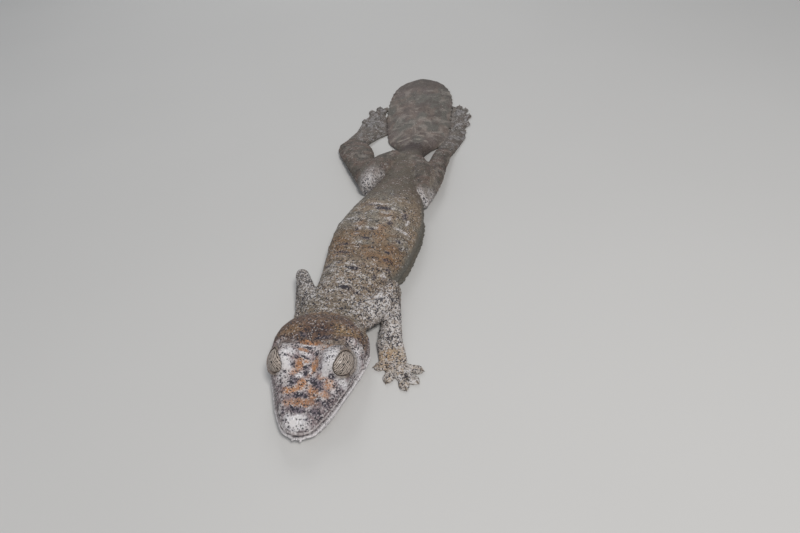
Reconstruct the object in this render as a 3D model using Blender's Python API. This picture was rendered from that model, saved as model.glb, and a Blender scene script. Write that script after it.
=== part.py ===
"""Mossy leaf-tailed gecko, a still life-size museum model.

The animal lies flat with its head towards -Y and its leaf tail towards +Y.
Sizes below are in millimetres, and finish_node scales every node to metres.
The spine is followed by its length s: 0 at the nape, negative along the head.
"""

import math
import random

import bmesh
import bpy
from mathutils import Matrix, Vector

MM = 0.001
GAP = 0.3
SEED = 7

# Spine: heading away from the head at each length, in radians from +Y towards +X
HEAD_YAW = -0.119
HEADING = (
    (-40.0, HEAD_YAW),
    (-1.0, HEAD_YAW),
    (8.0, 0.09),
    (22.0, 0.11),
    (32.0, 0.065),
    (47.0, 0.005),
    (60.0, -0.045),
    (73.0, -0.115),
    (85.0, -0.14),
    (97.0, -0.18),
    (160.0, -0.18),
)
SPINE_STEP = 0.5

# Body sections: s, half width, height of the back, height of the widest line, lowest height
SNOUT_END = -33.8
NAPE_END = 1.0
SECTIONS = (
    (-33.8, 1.4, 4.5, 3.7, 3.0),
    (-32.6, 3.4, 5.6, 3.7, 2.5),
    (-30.5, 4.9, 6.7, 3.7, 2.1),
    (-27.0, 6.8, 7.8, 3.8, 1.7),
    (-22.0, 8.8, 8.8, 3.9, 1.3),
    (-17.0, 10.8, 9.7, 4.1, 1.1),
    (-12.0, 12.4, 11.0, 4.3, 1.0),
    (-8.0, 13.0, 12.0, 4.4, 0.9),
    (-4.5, 12.4, 12.2, 4.5, 0.6),
    (-1.5, 10.9, 11.3, 4.4, 0.2),
    (1.0, 9.4, 9.9, 4.3, 0.0),
    (6.0, 8.6, 9.2, 4.1, -0.4),
    (12.0, 9.3, 9.9, 4.1, -0.4),
    (22.0, 11.5, 10.7, 3.9, -0.4),
    (32.0, 13.2, 11.1, 3.7, -0.4),
    (41.0, 13.6, 11.1, 3.6, -0.4),
    (50.0, 12.3, 10.6, 3.5, -0.4),
    (58.0, 10.0, 9.8, 3.5, -0.4),
    (66.0, 7.2, 9.0, 3.5, -0.4),
    (74.0, 6.0, 8.3, 3.3, -0.4),
    (82.0, 5.5, 7.2, 3.0, -0.4),
    (90.0, 4.6, 5.6, 2.3, -0.4),
    (93.0, 5.5, 5.0, 1.6, -0.3),
    (96.0, 7.1, 4.6, 1.1, -0.3),
    (99.0, 9.8, 4.3, 0.85, -0.3),
    (102.0, 11.7, 4.1, 0.7, -0.3),
    (106.0, 12.4, 3.9, 0.6, -0.3),
    (114.0, 12.9, 3.6, 0.55, -0.3),
    (128.0, 13.7, 3.1, 0.5, -0.3),
    (138.0, 13.4, 2.6, 0.5, -0.3),
    (146.0, 11.6, 2.2, 0.5, -0.3),
    (151.5, 8.4, 1.7, 0.5, -0.3),
    (154.4, 4.6, 1.3, 0.5, -0.3),
    (155.4, 1.4, 1.1, 0.5, -0.3),
)
# Roundness of the upper sections: s, exponent across, exponent upwards
ROUNDNESS = (
    (-33.8, 2.3, 2.3),
    (-22.0, 2.6, 2.4),
    (-10.0, 2.5, 2.4),
    (0.0, 2.3, 2.2),
    (88.0, 2.3, 2.1),
    (104.0, 1.9, 1.2),
    (156.0, 1.9, 1.1),
)
# How far the middle of the body lies to the left of the spine line: s, distance
SIDE_SHIFT = (
    (-34.0, -0.55),
    (-24.0, -0.55),
    (-15.0, -0.45),
    (-6.0, -0.4),
    (0.0, -0.3),
    (10.0, 0.0),
    (18.0, 0.0),
    (26.0, -0.5),
    (31.0, -0.9),
    (36.0, -1.3),
    (41.0, -1.5),
    (47.0, -1.4),
    (59.0, -1.2),
    (66.0, -1.1),
    (74.0, -0.7),
    (82.0, -0.3),
    (90.0, 0.0),
    (94.0, 0.5),
    (97.0, 1.3),
    (101.0, 1.6),
    (106.0, 1.3),
    (113.0, 0.8),
    (122.0, 0.4),
    (138.0, 0.4),
    (148.0, -0.1),
    (156.0, -0.2),
)
UPPER_STEPS = 14
LOWER_STEPS = 6
BELLY_EXPONENT = 0.8
TRUNK_STEP = 2.8
HEAD_STEP = 1.7

# Cuts between the nodes of the trunk, as spine lengths
NECK_END = 12.0
CHEST_END = 36.0
ABDOMEN_END = 66.0
PELVIS_END = 90.0
TAIL_BASE_END = 103.0
TAIL_TIP = 155.4
TAIL_NOTCH_PITCH = 3.3
TAIL_NOTCH = 0.45
TAIL_FULL_NOTCH_WIDTH = 8.0

# Mouth
MOUTH_CORNER = -8.5
MOUTH_FRONT_HEIGHT = 3.75
MOUTH_CORNER_HEIGHT = 4.5
WEDGE_SIDE = 20.0
WEDGE_MARGIN = 4.0
LOWER_LIP_REACH = 0.45
JAW_FRINGE_REACH = 0.55
JAW_FRINGE_DROP = 1.5
JAW_FRINGE_ROOT = 0.35
JAW_FRINGE_VALLEY = 0.6
CHIN_SPIKE_SIDE = 0.75
CHIN_SPIKE_HEIGHT = 3.0
CHIN_SPIKE_PROFILE = ((0.0, -0.8), (0.4, -0.8), (0.35, 0.3), (0.0, 0.9))

# Eyes and their rims
EYE_RADIUS = 4.0
EYE_SIDE = 7.05
EYE_S = -15.6
EYE_HEIGHT = 8.9
EYE_AXIS = (0.70, -0.40, 0.59)
# Outline of a rim as radius and distance along the way the eye looks: two raised rings round the eye
ORBIT_PROFILE = (
    (0.0, -4.2),
    (3.4, -3.6),
    (4.8, -1.0),
    (4.95, 0.8),
    (4.65, 1.6),
    (4.4, 1.4),
    (4.2, 2.15),
    (3.7, 2.4),
    (0.0, 2.1),
)
BROW_PATH = ((1.4, -11.0), (4.6, -9.3), (8.0, -8.7), (10.7, -10.0), (12.3, -13.2))
BROW_RADIUS = 0.85
BROW_STEPS = 6
BROW_LIFT = 0.15
NOSTRIL_SIDE = 2.5
NOSTRIL_S = -31.8
NOSTRIL_RADIUS = 0.5
NOSTRIL_LIFT = 0.1
EAR_S = -4.6
EAR_HEIGHT = 6.4
EAR_RADIUS = (0.7, 1.2, 1.0)
EAR_DEPTH = 0.2

# Limbs: x, y, z, half width, half height along each segment
UPPER_ARM_LEFT = (
    (7.0, 4.2, 5.0, 4.3, 3.2),
    (10.6, 8.6, 5.2, 4.1, 3.0),
    (13.2, 17.7, 5.2, 2.0, 2.2),
)
FOREARM_LEFT = (
    (13.6, 17.3, 3.6, 1.8, 1.9),
    (15.2, 9.6, 3.0, 2.3, 2.1),
    (16.5, 3.4, 2.3, 2.9, 1.7),
    (17.3, -0.4, 1.7, 3.4, 1.4),
)
UPPER_ARM_RIGHT = (
    (-6.3, 5.4, 5.2, 3.5, 2.9),
    (-10.8, 10.9, 6.0, 2.7, 2.6),
    (-14.5, 16.7, 6.1, 2.0, 2.1),
)
FOREARM_RIGHT = (
    (-14.6, 16.1, 4.3, 1.8, 1.9),
    (-12.5, 10.4, 3.4, 2.0, 1.9),
    (-11.0, 5.4, 2.4, 1.8, 1.6),
    (-10.7, 1.8, 1.6, 1.7, 1.2),
)
THIGH_LEFT = (
    (3.4, 81.0, 4.6, 3.8, 3.4),
    (7.6, 72.0, 5.5, 3.8, 3.3),
    (9.9, 62.7, 5.1, 2.1, 2.4),
)
SHANK_LEFT = (
    (11.1, 60.4, 3.1, 1.8, 2.2),
    (11.4, 71.0, 3.2, 3.1, 2.7),
    (10.6, 84.0, 2.7, 3.3, 2.3),
    (10.6, 94.0, 1.9, 3.0, 1.7),
)
THIGH_RIGHT = (
    (-4.2, 83.2, 4.4, 4.7, 3.2),
    (-8.9, 76.2, 5.0, 5.0, 3.2),
    (-9.6, 66.2, 5.0, 2.7, 2.6),
)
SHANK_RIGHT = (
    (-10.6, 66.2, 3.2, 2.2, 2.3),
    (-15.4, 76.6, 3.2, 4.5, 2.8),
    (-20.8, 86.6, 2.7, 5.9, 2.4),
    (-25.0, 93.0, 1.8, 5.7, 1.7),
)
LIMB_SIDES = 10
LIMB_RINGS = 7
CAP_REACH = 0.75
CAP_SIZE = 0.55
FOREBODY_SPAN = (-2.0, 30.0)
HINDBODY_SPAN = (46.0, 97.0)
TAIL_SPAN = (86.0, 150.0)

# Feet: wrist or ankle and half width there, middle of the palm, its half width and half height,
# reach of the web towards the tips, tips of the toes
HAND_LEFT = (
    (17.7, -1.2),
    3.3,
    (19.4, -5.4),
    3.5,
    0.9,
    0.72,
    ((14.9, -7.8), (19.4, -11.8), (24.9, -12.9), (27.3, -10.3), (27.6, -6.4)),
)
HAND_RIGHT = (
    (-10.7, 1.2),
    1.6,
    (-10.7, -1.4),
    2.3,
    0.9,
    0.7,
    ((-7.1, -5.2), (-9.3, -7.8), (-12.3, -8.1), (-14.9, -6.1), (-15.3, -2.4)),
)
FOOT_LEFT = (
    (10.8, 94.8),
    2.9,
    (12.0, 108.5),
    3.4,
    1.0,
    0.9,
    ((8.9, 132.0), (11.9, 130.0), (14.3, 125.4), (15.2, 119.0), (15.3, 112.2)),
)
FOOT_RIGHT = (
    (-24.8, 98.2),
    4.3,
    (-21.9, 107.6),
    5.0,
    1.0,
    0.9,
    ((-28.4, 116.2), (-27.5, 124.2), (-24.8, 127.4), (-21.6, 127.0), (-19.0, 118.5)),
)
TOE_START = 0.22
TOE_HALF_WIDTH = 0.95
PAD_HALF_WIDTH = 1.45
TOE_HEIGHT = 1.3
PAD_HEIGHT = 0.95
PAD_LENGTH = 3.1
PAD_WIDEST = 1.7
PAD_SHOULDER = 0.5
CLAW_ROOT = 0.7
CLAW_HEIGHT = 0.5
CLAW_LENGTH = 1.1
CLAW_RADIUS = 0.28
WEB_HOLLOW = 0.86
ANKLE_HEIGHT = 1.15
WEB_LIFT = 0.1
WEB_HEIGHT = 0.6

# Skin fringe: reach, thickness and spacing of the lobes
FLANK_REACH = 2.5
FLANK_ROOT = 0.86
FLANK_START = 23.0
FLANK_END = 54.5
FRINGE_THICKNESS = 0.8
FRINGE_ROOT = 1.4
LOBE_PITCH = 2.6
LIMB_FRINGE_REACH = 0.7
LIMB_FRINGE_ROOT = 0.95
LIMB_FRINGE_SPAN = (0.1, 0.85)
FRINGE_TAPER = 3.0
FRINGE_VALLEY = 0.35
FRINGE_EDGE = 0.65
FRINGE_LIFT = 0.6
FRINGE_SPREAD = (0.92, 1.08)

SKIN_COLORS = {
    "head": (0.27, 0.20, 0.165),
    "jaw": (0.36, 0.31, 0.29),
    "trunk": (0.24, 0.205, 0.175),
    "limb": (0.29, 0.26, 0.23),
    "tail": (0.25, 0.21, 0.195),
    "eye": (0.30, 0.26, 0.21),
}
SKIN_ROUGHNESS = 0.8
EYE_ROUGHNESS = 0.3


def clear_scene():
    for obj in list(bpy.data.objects):
        bpy.data.objects.remove(obj, do_unlink=True)


def interpolate(rows, s):
    """Smooth curve through rows of (s, values), flat beyond the ends."""
    if s <= rows[0][0]:
        return rows[0][1:]
    if s >= rows[-1][0]:
        return rows[-1][1:]
    i = max(k for k in range(len(rows) - 1) if rows[k][0] <= s)
    before = rows[max(i - 1, 0)]
    a = rows[i]
    b = rows[i + 1]
    after = rows[min(i + 2, len(rows) - 1)]
    span = b[0] - a[0]
    t = (s - a[0]) / span
    values = []
    for k in range(1, len(a)):
        slope_a = (b[k] - before[k]) / (b[0] - before[0]) * span
        slope_b = (after[k] - a[k]) / (after[0] - a[0]) * span
        value = a[k] * (1 - t) ** 2 * (1 + 2 * t) + b[k] * t * t * (3 - 2 * t)
        values.append(value + slope_a * t * (1 - t) ** 2 - slope_b * t * t * (1 - t))
    return tuple(values)


def trace_spine():
    """Points of the spine every SPINE_STEP, from the nape both ways."""
    points = {0: Vector((0.0, 0.0))}
    for direction in (-1, 1):
        here = Vector((0.0, 0.0))
        for k in range(1, 340):
            middle = direction * (k - 0.5) * SPINE_STEP
            heading = interpolate(HEADING, middle)[0]
            here = here + direction * SPINE_STEP * Vector((math.sin(heading), math.cos(heading)))
            points[direction * k] = here
    return points


SPINE = trace_spine()


def spine_point(s, side=0.0, height=0.0):
    """The point at length s along the middle of the body, moved sideways to its left and up."""
    side += interpolate(SIDE_SHIFT, s)[0]
    k = math.floor(s / SPINE_STEP)
    t = s / SPINE_STEP - k
    here = SPINE[k].lerp(SPINE[k + 1], t)
    heading = interpolate(HEADING, s)[0]
    return Vector((here.x + side * math.cos(heading), here.y - side * math.sin(heading), height))


def signed_power(value, exponent):
    return math.copysign(abs(value) ** exponent, value)


def body_ring(s, grow=0.0, widen=0.0):
    """One closed section of the body, from its left side over the back and under the belly."""
    half_width, top, side, low = interpolate(SECTIONS, s)
    across, upwards = interpolate(ROUNDNESS, s)
    if s > TAIL_BASE_END:
        phase = (s - TAIL_BASE_END) / TAIL_NOTCH_PITCH
        depth = TAIL_NOTCH * min(1.0, half_width / TAIL_FULL_NOTCH_WIDTH)
        half_width -= depth * (0.5 - 0.5 * math.cos(2 * math.pi * phase))
    half_width += grow + widen
    floor = -grow
    ring = []
    for k in range(UPPER_STEPS):
        a = math.pi * k / UPPER_STEPS
        x = half_width * signed_power(math.cos(a), 2 / across)
        z = side + (top + grow - side) * abs(math.sin(a)) ** (2 / upwards)
        ring.append(spine_point(s, x, z))
    for k in range(LOWER_STEPS):
        a = math.pi * k / LOWER_STEPS
        x = -half_width * signed_power(math.cos(a), BELLY_EXPONENT)
        z = side - (side - low + grow) * abs(math.sin(a)) ** BELLY_EXPONENT
        ring.append(spine_point(s, x, max(z, floor)))
    return ring


def mesh_object(name, vertices, faces):
    mesh = bpy.data.meshes.new(name)
    mesh.from_pydata([tuple(v) for v in vertices], [], faces)
    mesh.update()
    obj = bpy.data.objects.new(name, mesh)
    bpy.context.scene.collection.objects.link(obj)
    return obj


def face_outwards(obj):
    bm = bmesh.new()
    bm.from_mesh(obj.data)
    bmesh.ops.recalc_face_normals(bm, faces=bm.faces)
    if bm.calc_volume(signed=True) < 0:
        bmesh.ops.reverse_faces(bm, faces=bm.faces)
    bm.to_mesh(obj.data)
    bm.free()
    return obj


def loft(name, rings):
    """A closed skin over rings of equal count, each end closed by a fan from its middle."""
    count = len(rings[0])
    vertices = [p for ring in rings for p in ring]
    faces = []
    for r in range(len(rings) - 1):
        for k in range(count):
            a = r * count + k
            b = r * count + (k + 1) % count
            faces.append((a, b, b + count))
            faces.append((a, b + count, a + count))
    for ring_start, ring in ((0, rings[0]), ((len(rings) - 1) * count, rings[-1])):
        middle = sum(ring, Vector((0.0, 0.0, 0.0))) / count
        vertices.append(middle)
        for k in range(count):
            faces.append((ring_start + k, ring_start + (k + 1) % count, len(vertices) - 1))
    return face_outwards(mesh_object(name, vertices, faces))


def spread(start, end, step):
    count = max(2, round((end - start) / step))
    return [start + (end - start) * k / count for k in range(count + 1)]


def body_length(name, start, end, step, grow=0.0, widen=0.0):
    return loft(name, [body_ring(s, grow, widen) for s in spread(start, end, step)])


def limb_frame(points, k):
    """Sideways and upward directions of a limb at its k-th point."""
    ahead = points[min(k + 1, len(points) - 1)][0] - points[max(k - 1, 0)][0]
    ahead.normalize()
    side = ahead.cross(Vector((0.0, 0.0, 1.0))).normalized()
    return side, side.cross(ahead).normalized()


def limb_ring(centre, side, up, wide, tall, floor):
    ring = []
    for i in range(LIMB_SIDES):
        a = 2 * math.pi * i / LIMB_SIDES
        point = centre + side * wide * math.cos(a) + up * tall * math.sin(a)
        point.z = max(point.z, floor)
        ring.append(point)
    return ring


def limb_rings(stations, grow=0.0, capped=(True, True), count=LIMB_RINGS):
    """Elliptic rings along a limb segment, drawn in at each end that is capped."""
    rows = [(float(i),) + tuple(station) for i, station in enumerate(stations)]
    last = len(stations) - 1
    points = []
    for k in range(count):
        x, y, z, wide, tall = interpolate(rows, last * k / (count - 1))
        points.append((Vector((x, y, z)), wide + grow, tall + grow))
    for at_start, cap in ((True, capped[0]), (False, capped[1])):
        if cap:
            centre, wide, tall = points[0] if at_start else points[-1]
            inner = points[1][0] if at_start else points[-2][0]
            tip = centre + (centre - inner).normalized() * wide * CAP_REACH
            end = (tip, wide * CAP_SIZE, tall * CAP_SIZE)
            points.insert(0 if at_start else len(points), end)
    return [limb_ring(row[0], *limb_frame(points, k), *row[1:], -grow) for k, row in enumerate(points)]


def limb(name, stations, grow=0.0, capped=(True, True)):
    return loft(name, limb_rings(stations, grow, capped))


def turned(name, profile, centre, axis, segments=16):
    """A solid turned about an axis, from pairs of radius and distance along the axis."""
    axis = Vector(axis).normalized()
    side = axis.cross(Vector((0.0, 0.0, 1.0))).normalized()
    up = side.cross(axis)
    centre = Vector(centre)
    vertices = []
    starts = []
    for radius, along in profile:
        starts.append(len(vertices))
        for i in range(segments if radius > 0 else 1):
            a = 2 * math.pi * i / segments
            vertices.append(centre + axis * along + (side * math.cos(a) + up * math.sin(a)) * radius)
    faces = []
    for j in range(len(profile) - 1):
        for i in range(segments):
            n = (i + 1) % segments
            if profile[j][0] == 0:
                faces.append((starts[j], starts[j + 1] + i, starts[j + 1] + n))
            elif profile[j + 1][0] == 0:
                faces.append((starts[j] + n, starts[j] + i, starts[j + 1]))
            else:
                faces.append((starts[j] + i, starts[j] + n, starts[j + 1] + n))
                faces.append((starts[j] + i, starts[j + 1] + n, starts[j + 1] + i))
    return face_outwards(mesh_object(name, vertices, faces))


def ball(name, centre, radii, segments=16, rows=8):
    profile = [(math.sin(math.pi * k / rows), -math.cos(math.pi * k / rows)) for k in range(rows + 1)]
    profile[0] = (0.0, -1.0)
    profile[-1] = (0.0, 1.0)
    obj = turned(name, profile, (0.0, 0.0, 0.0), (0.0, 1.0, 0.0), segments)
    obj.data.transform(Matrix.Translation(centre) @ Matrix.Diagonal(Vector(radii).to_4d()))
    return obj


def fringe(name, roots, outwards, reach, low, thickness, seed, valley=FRINGE_VALLEY, tapered=(True, True)):
    """A thin scalloped strip: roots lie inside the body, outwards are unit directions."""
    draw = random.Random(seed)
    count = len(roots)
    vertices = []
    for k in range(count):
        from_start = (k + 0.6) / FRINGE_TAPER if tapered[0] else 1.0
        from_end = (count - k - 0.4) / FRINGE_TAPER if tapered[1] else 1.0
        taper = min(1.0, from_start, from_end)
        out = reach * taper * ((1.0 - valley) if k % 2 == 0 else draw.uniform(*FRINGE_SPREAD))
        inner = roots[k] - outwards[k] * FRINGE_ROOT
        outer = roots[k] + outwards[k] * out
        base = roots[k].z + low
        middle = base + 0.5 * thickness
        edge = 0.5 * thickness * FRINGE_EDGE
        vertices.append(Vector((inner.x, inner.y, base)))
        vertices.append(Vector((inner.x, inner.y, base + thickness)))
        vertices.append(Vector((outer.x, outer.y, middle + edge)))
        vertices.append(Vector((outer.x, outer.y, middle - edge)))
    faces = []
    for k in range(count - 1):
        a = 4 * k
        for i in range(4):
            n = (i + 1) % 4
            faces.append((a + i, a + n, a + 4 + n))
            faces.append((a + i, a + 4 + n, a + 4 + i))
    end = 4 * (count - 1)
    for start in (0, end):
        faces.append((start, start + 1, start + 2))
        faces.append((start, start + 2, start + 3))
    return face_outwards(mesh_object(name, vertices, faces))


def boolean(target, others, operation, solver="EXACT"):
    """Joins or cuts the target by a collection of closed solids, which are then removed."""
    tools = bpy.data.collections.new("tools")
    for other in others:
        tools.objects.link(other)
    modifier = target.modifiers.new("boolean", "BOOLEAN")
    modifier.operation = operation
    modifier.solver = solver
    modifier.operand_type = "COLLECTION"
    modifier.collection = tools
    depsgraph = bpy.context.evaluated_depsgraph_get()
    mesh = bpy.data.meshes.new_from_object(target.evaluated_get(depsgraph))
    target.modifiers.clear()
    target.data = mesh
    for other in others:
        bpy.data.objects.remove(other, do_unlink=True)
    bpy.data.collections.remove(tools)
    return keep_largest(target)


def keep_largest(obj):
    """Keeps the largest closed surface of a solid."""
    bm = bmesh.new()
    bm.from_mesh(obj.data)
    bmesh.ops.triangulate(bm, faces=bm.faces)
    unseen = set(bm.verts)
    islands = []
    while unseen:
        stack = [unseen.pop()]
        island = {stack[0]}
        while stack:
            for edge in stack.pop().link_edges:
                for v in edge.verts:
                    if v in unseen:
                        unseen.remove(v)
                        island.add(v)
                        stack.append(v)
        islands.append(island)
    islands.sort(key=lambda island: -sum(f.calc_area() for v in island for f in v.link_faces))
    for island in islands[1:]:
        bmesh.ops.delete(bm, geom=list(island), context="VERTS")
    bm.to_mesh(obj.data)
    bm.free()
    return obj


def material(name, color, roughness):
    made = bpy.data.materials.new(name)
    made.use_nodes = True
    shader = made.node_tree.nodes["Principled BSDF"]
    shader.inputs["Base Color"].default_value = (*color, 1.0)
    shader.inputs["Roughness"].default_value = roughness
    shader.inputs["Metallic"].default_value = 0.0
    return made


def finish_node(obj, name, color_name):
    """Names, scales, colours and shades one finished node."""
    obj.name = name
    obj.data.name = name
    obj.data.transform(Matrix.Scale(MM, 4))
    roughness = EYE_ROUGHNESS if color_name == "eye" else SKIN_ROUGHNESS
    obj.data.materials.clear()
    obj.data.materials.append(material(name, SKIN_COLORS[color_name], roughness))
    obj.data.shade_smooth()
    obj.data.set_sharp_from_angle(angle=math.radians(50))
    return obj


def mouth_wedge(name, lift):
    """The block below the mouth line, from in front of the snout back to the mouth corner."""
    corner = MOUTH_CORNER - lift
    rings = []
    for s, height in ((SNOUT_END - WEDGE_MARGIN, MOUTH_FRONT_HEIGHT), (corner, MOUTH_CORNER_HEIGHT)):
        top = height - lift
        outline = ((1, top), (-1, top), (-1, -WEDGE_MARGIN), (1, -WEDGE_MARGIN))
        rings.append([spine_point(s, side * WEDGE_SIDE, z) for side, z in outline])
    return loft(name, rings)


def eye_place(side):
    """Centre of an eye and the direction it looks in."""
    centre = spine_point(EYE_S, side * EYE_SIDE, EYE_HEIGHT)
    tip = spine_point(EYE_S + EYE_AXIS[1], side * (EYE_SIDE + EYE_AXIS[0]), EYE_HEIGHT + EYE_AXIS[2])
    return centre, (tip - centre).normalized()


def back_height(s, side):
    """Height of the body's upper surface above a point."""
    half_width, top, widest, _ = interpolate(SECTIONS, s)
    across, upwards = interpolate(ROUNDNESS, s)
    inside = max(0.0, 1.0 - abs(side / half_width) ** across)
    return widest + (top - widest) * inside ** (1 / upwards)


def brow(side):
    """The raised fold that sweeps from the forehead round behind an eye."""
    rows = [(float(i), side * row[0], row[1]) for i, row in enumerate(BROW_PATH)]
    last = len(BROW_PATH) - 1
    stations = []
    for k in range(BROW_STEPS + 1):
        across, s = interpolate(rows, last * k / BROW_STEPS)
        point = spine_point(s, across, back_height(s, across) + BROW_LIFT)
        stations.append((point.x, point.y, point.z, BROW_RADIUS, BROW_RADIUS * 0.8))
    return limb("brow", stations)


def make_head():
    head = body_length("head", SNOUT_END, NAPE_END - GAP / 2, HEAD_STEP)
    added = []
    for side in (1, -1):
        centre, axis = eye_place(side)
        added.append(turned("orbit", ORBIT_PROFILE, centre, axis))
        added.append(brow(side))
    head = boolean(head, added, "UNION")
    cuts = [mouth_wedge("mouth", 0.0)]
    for side in (1, -1):
        centre, axis = eye_place(side)
        cuts.append(ball("socket", centre, [EYE_RADIUS + GAP] * 3, 16, 9))
        height = back_height(NOSTRIL_S, NOSTRIL_SIDE) + NOSTRIL_LIFT
        nostril = spine_point(NOSTRIL_S, side * NOSTRIL_SIDE, height)
        cuts.append(ball("nostril", nostril, [NOSTRIL_RADIUS] * 3, 10, 6))
        half_width = interpolate(SECTIONS, EAR_S)[0]
        ear = spine_point(EAR_S, side * (half_width - EAR_DEPTH), EAR_HEIGHT)
        cuts.append(ball("ear", ear, EAR_RADIUS, 12, 6))
    head = boolean(head, cuts, "DIFFERENCE")
    return finish_node(head, "head", "head")


def make_lower_jaw():
    end = MOUTH_CORNER + 2.0
    jaw = body_length("jaw", SNOUT_END - LOWER_LIP_REACH, end, HEAD_STEP, 0.0, LOWER_LIP_REACH)
    jaw = boolean(jaw, [mouth_wedge("below", GAP)], "INTERSECT")
    added = []
    for side in (1, -1):
        roots = []
        outwards = []
        for s in spread(SNOUT_END + 2.6, MOUTH_CORNER - 1.6, LOBE_PITCH / 2):
            half_width, _, widest, _ = interpolate(SECTIONS, s)
            reach = side * (half_width + LOWER_LIP_REACH - JAW_FRINGE_ROOT)
            roots.append(spine_point(s, reach, widest - JAW_FRINGE_DROP))
            outwards.append((spine_point(s, side) - spine_point(s)).normalized())
        sizes = (JAW_FRINGE_REACH, 0.0, FRINGE_THICKNESS)
        added.append(fringe("fringe", roots, outwards, *sizes, SEED + side, JAW_FRINGE_VALLEY))
        chin = spine_point(SNOUT_END + 0.6, side * CHIN_SPIKE_SIDE, CHIN_SPIKE_HEIGHT)
        ahead = spine_point(SNOUT_END - 2.0, side * (CHIN_SPIKE_SIDE + 0.3), CHIN_SPIKE_HEIGHT) - chin
        added.append(turned("chin", CHIN_SPIKE_PROFILE, chin, ahead, 8))
    jaw = boolean(jaw, added, "UNION")
    return finish_node(jaw, "lower_jaw", "jaw")


def make_eyes():
    made = []
    for side, word in ((1, "left"), (-1, "right")):
        centre, _ = eye_place(side)
        eye = ball("eye", centre, [EYE_RADIUS] * 3, 16, 9)
        made.append(finish_node(eye, "eye_" + word, "eye"))
    return made


def flank_fringe(side, start, end, seed, tapered):
    """The scalloped fold of skin along one side of the belly."""
    roots = []
    outwards = []
    for s in spread(start, end, LOBE_PITCH / 2):
        half_width = interpolate(SECTIONS, s)[0]
        roots.append(spine_point(s, side * half_width * FLANK_ROOT, 0.0))
        outwards.append((spine_point(s, side) - spine_point(s)).normalized())
    sizes = (FLANK_REACH, FRINGE_LIFT, FRINGE_THICKNESS)
    return fringe("fringe", roots, outwards, *sizes, seed, FRINGE_VALLEY, tapered)


def make_trunk():
    half = GAP / 2
    neck = body_length("neck", NAPE_END + half, NECK_END - half, TRUNK_STEP)
    finish_node(neck, "neck", "trunk")
    chest = body_length("chest", NECK_END + half, CHEST_END - half, TRUNK_STEP)
    front = (FLANK_START, CHEST_END - half)
    strips = [flank_fringe(side, *front, SEED + 10 + side, (True, False)) for side in (1, -1)]
    finish_node(boolean(chest, strips, "UNION"), "chest", "trunk")
    abdomen = body_length("abdomen", CHEST_END + half, ABDOMEN_END - half, TRUNK_STEP)
    rear = (CHEST_END + half, FLANK_END)
    strips = [flank_fringe(side, *rear, SEED + 20 + side, (False, True)) for side in (1, -1)]
    finish_node(boolean(abdomen, strips, "UNION"), "abdomen", "trunk")
    pelvis = body_length("pelvis", ABDOMEN_END + half, PELVIS_END - half, TRUNK_STEP)
    finish_node(pelvis, "pelvis", "trunk")
    tail_base = body_length("tail_base", PELVIS_END + half, TAIL_BASE_END - half, TRUNK_STEP)
    finish_node(tail_base, "tail_base", "tail")
    leaf = body_length("tail_leaf", TAIL_BASE_END + half, TAIL_TIP, TAIL_NOTCH_PITCH / 2)
    finish_node(leaf, "tail_leaf", "tail")


def body_cutter(start, end):
    return body_length("body_cutter", start, end, TRUNK_STEP, GAP)


def limb_fringe(stations, outer_side, start, end, seed):
    """Small lobes along the outer edge of a limb segment, between two fractions of its length."""
    rows = [(float(i),) + tuple(station) for i, station in enumerate(stations)]
    last = len(stations) - 1
    steps = [Vector(stations[i][:3]) - Vector(stations[i + 1][:3]) for i in range(last)]
    length = sum(step.length for step in steps)
    count = max(5, 2 * round((end - start) * length / LOBE_PITCH) + 1)
    roots = []
    outwards = []
    for k in range(count):
        t = last * (start + (end - start) * k / (count - 1))
        x, y, z, wide, _ = interpolate(rows, t)
        ahead = Vector(interpolate(rows, t + 0.05)[:3]) - Vector(interpolate(rows, t - 0.05)[:3])
        out = ahead.cross(Vector((0.0, 0.0, outer_side))).normalized()
        out.z = 0.0
        out.normalize()
        roots.append(Vector((x, y, z - 0.5 * FRINGE_THICKNESS)) + out * wide * LIMB_FRINGE_ROOT)
        outwards.append(out)
    return fringe("fringe", roots, outwards, LIMB_FRINGE_REACH, 0.0, FRINGE_THICKNESS, seed)


def make_limb(upper_name, lower_name, upper, lower, span, outer_side, seed):
    """Both segments of a limb, each cut clear of the stretch of body it lies against."""
    upper_part = boolean(limb("upper", upper), [body_cutter(*span)], "DIFFERENCE")
    lower_part = limb("lower", lower, 0.0, (True, False))
    lower_part = boolean(lower_part, [limb_fringe(lower, outer_side, *LIMB_FRINGE_SPAN, seed)], "UNION")
    lower_part = boolean(lower_part, [body_cutter(*span), limb("upper_cutter", upper, GAP)], "DIFFERENCE")
    finish_node(upper_part, upper_name, "limb")
    finish_node(lower_part, lower_name, "limb")


def toe(palm, tip):
    """A flat toe with a widened pad, from the middle of the palm to its tip."""
    start = Vector((*palm, 0.0))
    end = Vector((*tip, 0.0))
    along = end - start
    length = along.length
    along.normalize()
    side = Vector((along.y, -along.x, 0.0))
    stations = (
        (TOE_START, TOE_HALF_WIDTH * 1.2, TOE_HEIGHT),
        (1.0 - PAD_LENGTH / length, TOE_HALF_WIDTH, TOE_HEIGHT * 0.95),
        (1.0 - PAD_WIDEST / length, PAD_HALF_WIDTH, PAD_HEIGHT * 1.1),
        (1.0 - PAD_SHOULDER / length, PAD_HALF_WIDTH * 0.9, PAD_HEIGHT * 0.85),
        (1.0, PAD_HALF_WIDTH * 0.4, PAD_HEIGHT * 0.6),
    )
    rings = []
    for t, wide, tall in stations:
        centre = start.lerp(end, t)
        outline = ((1.0, 0.0), (1.0, 0.55), (0.55, 1.0), (-0.55, 1.0), (-1.0, 0.55), (-1.0, 0.0))
        rings.append([centre + side * wide * u + Vector((0.0, 0.0, tall * v)) for u, v in outline])
    return loft("toe", rings)


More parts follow.
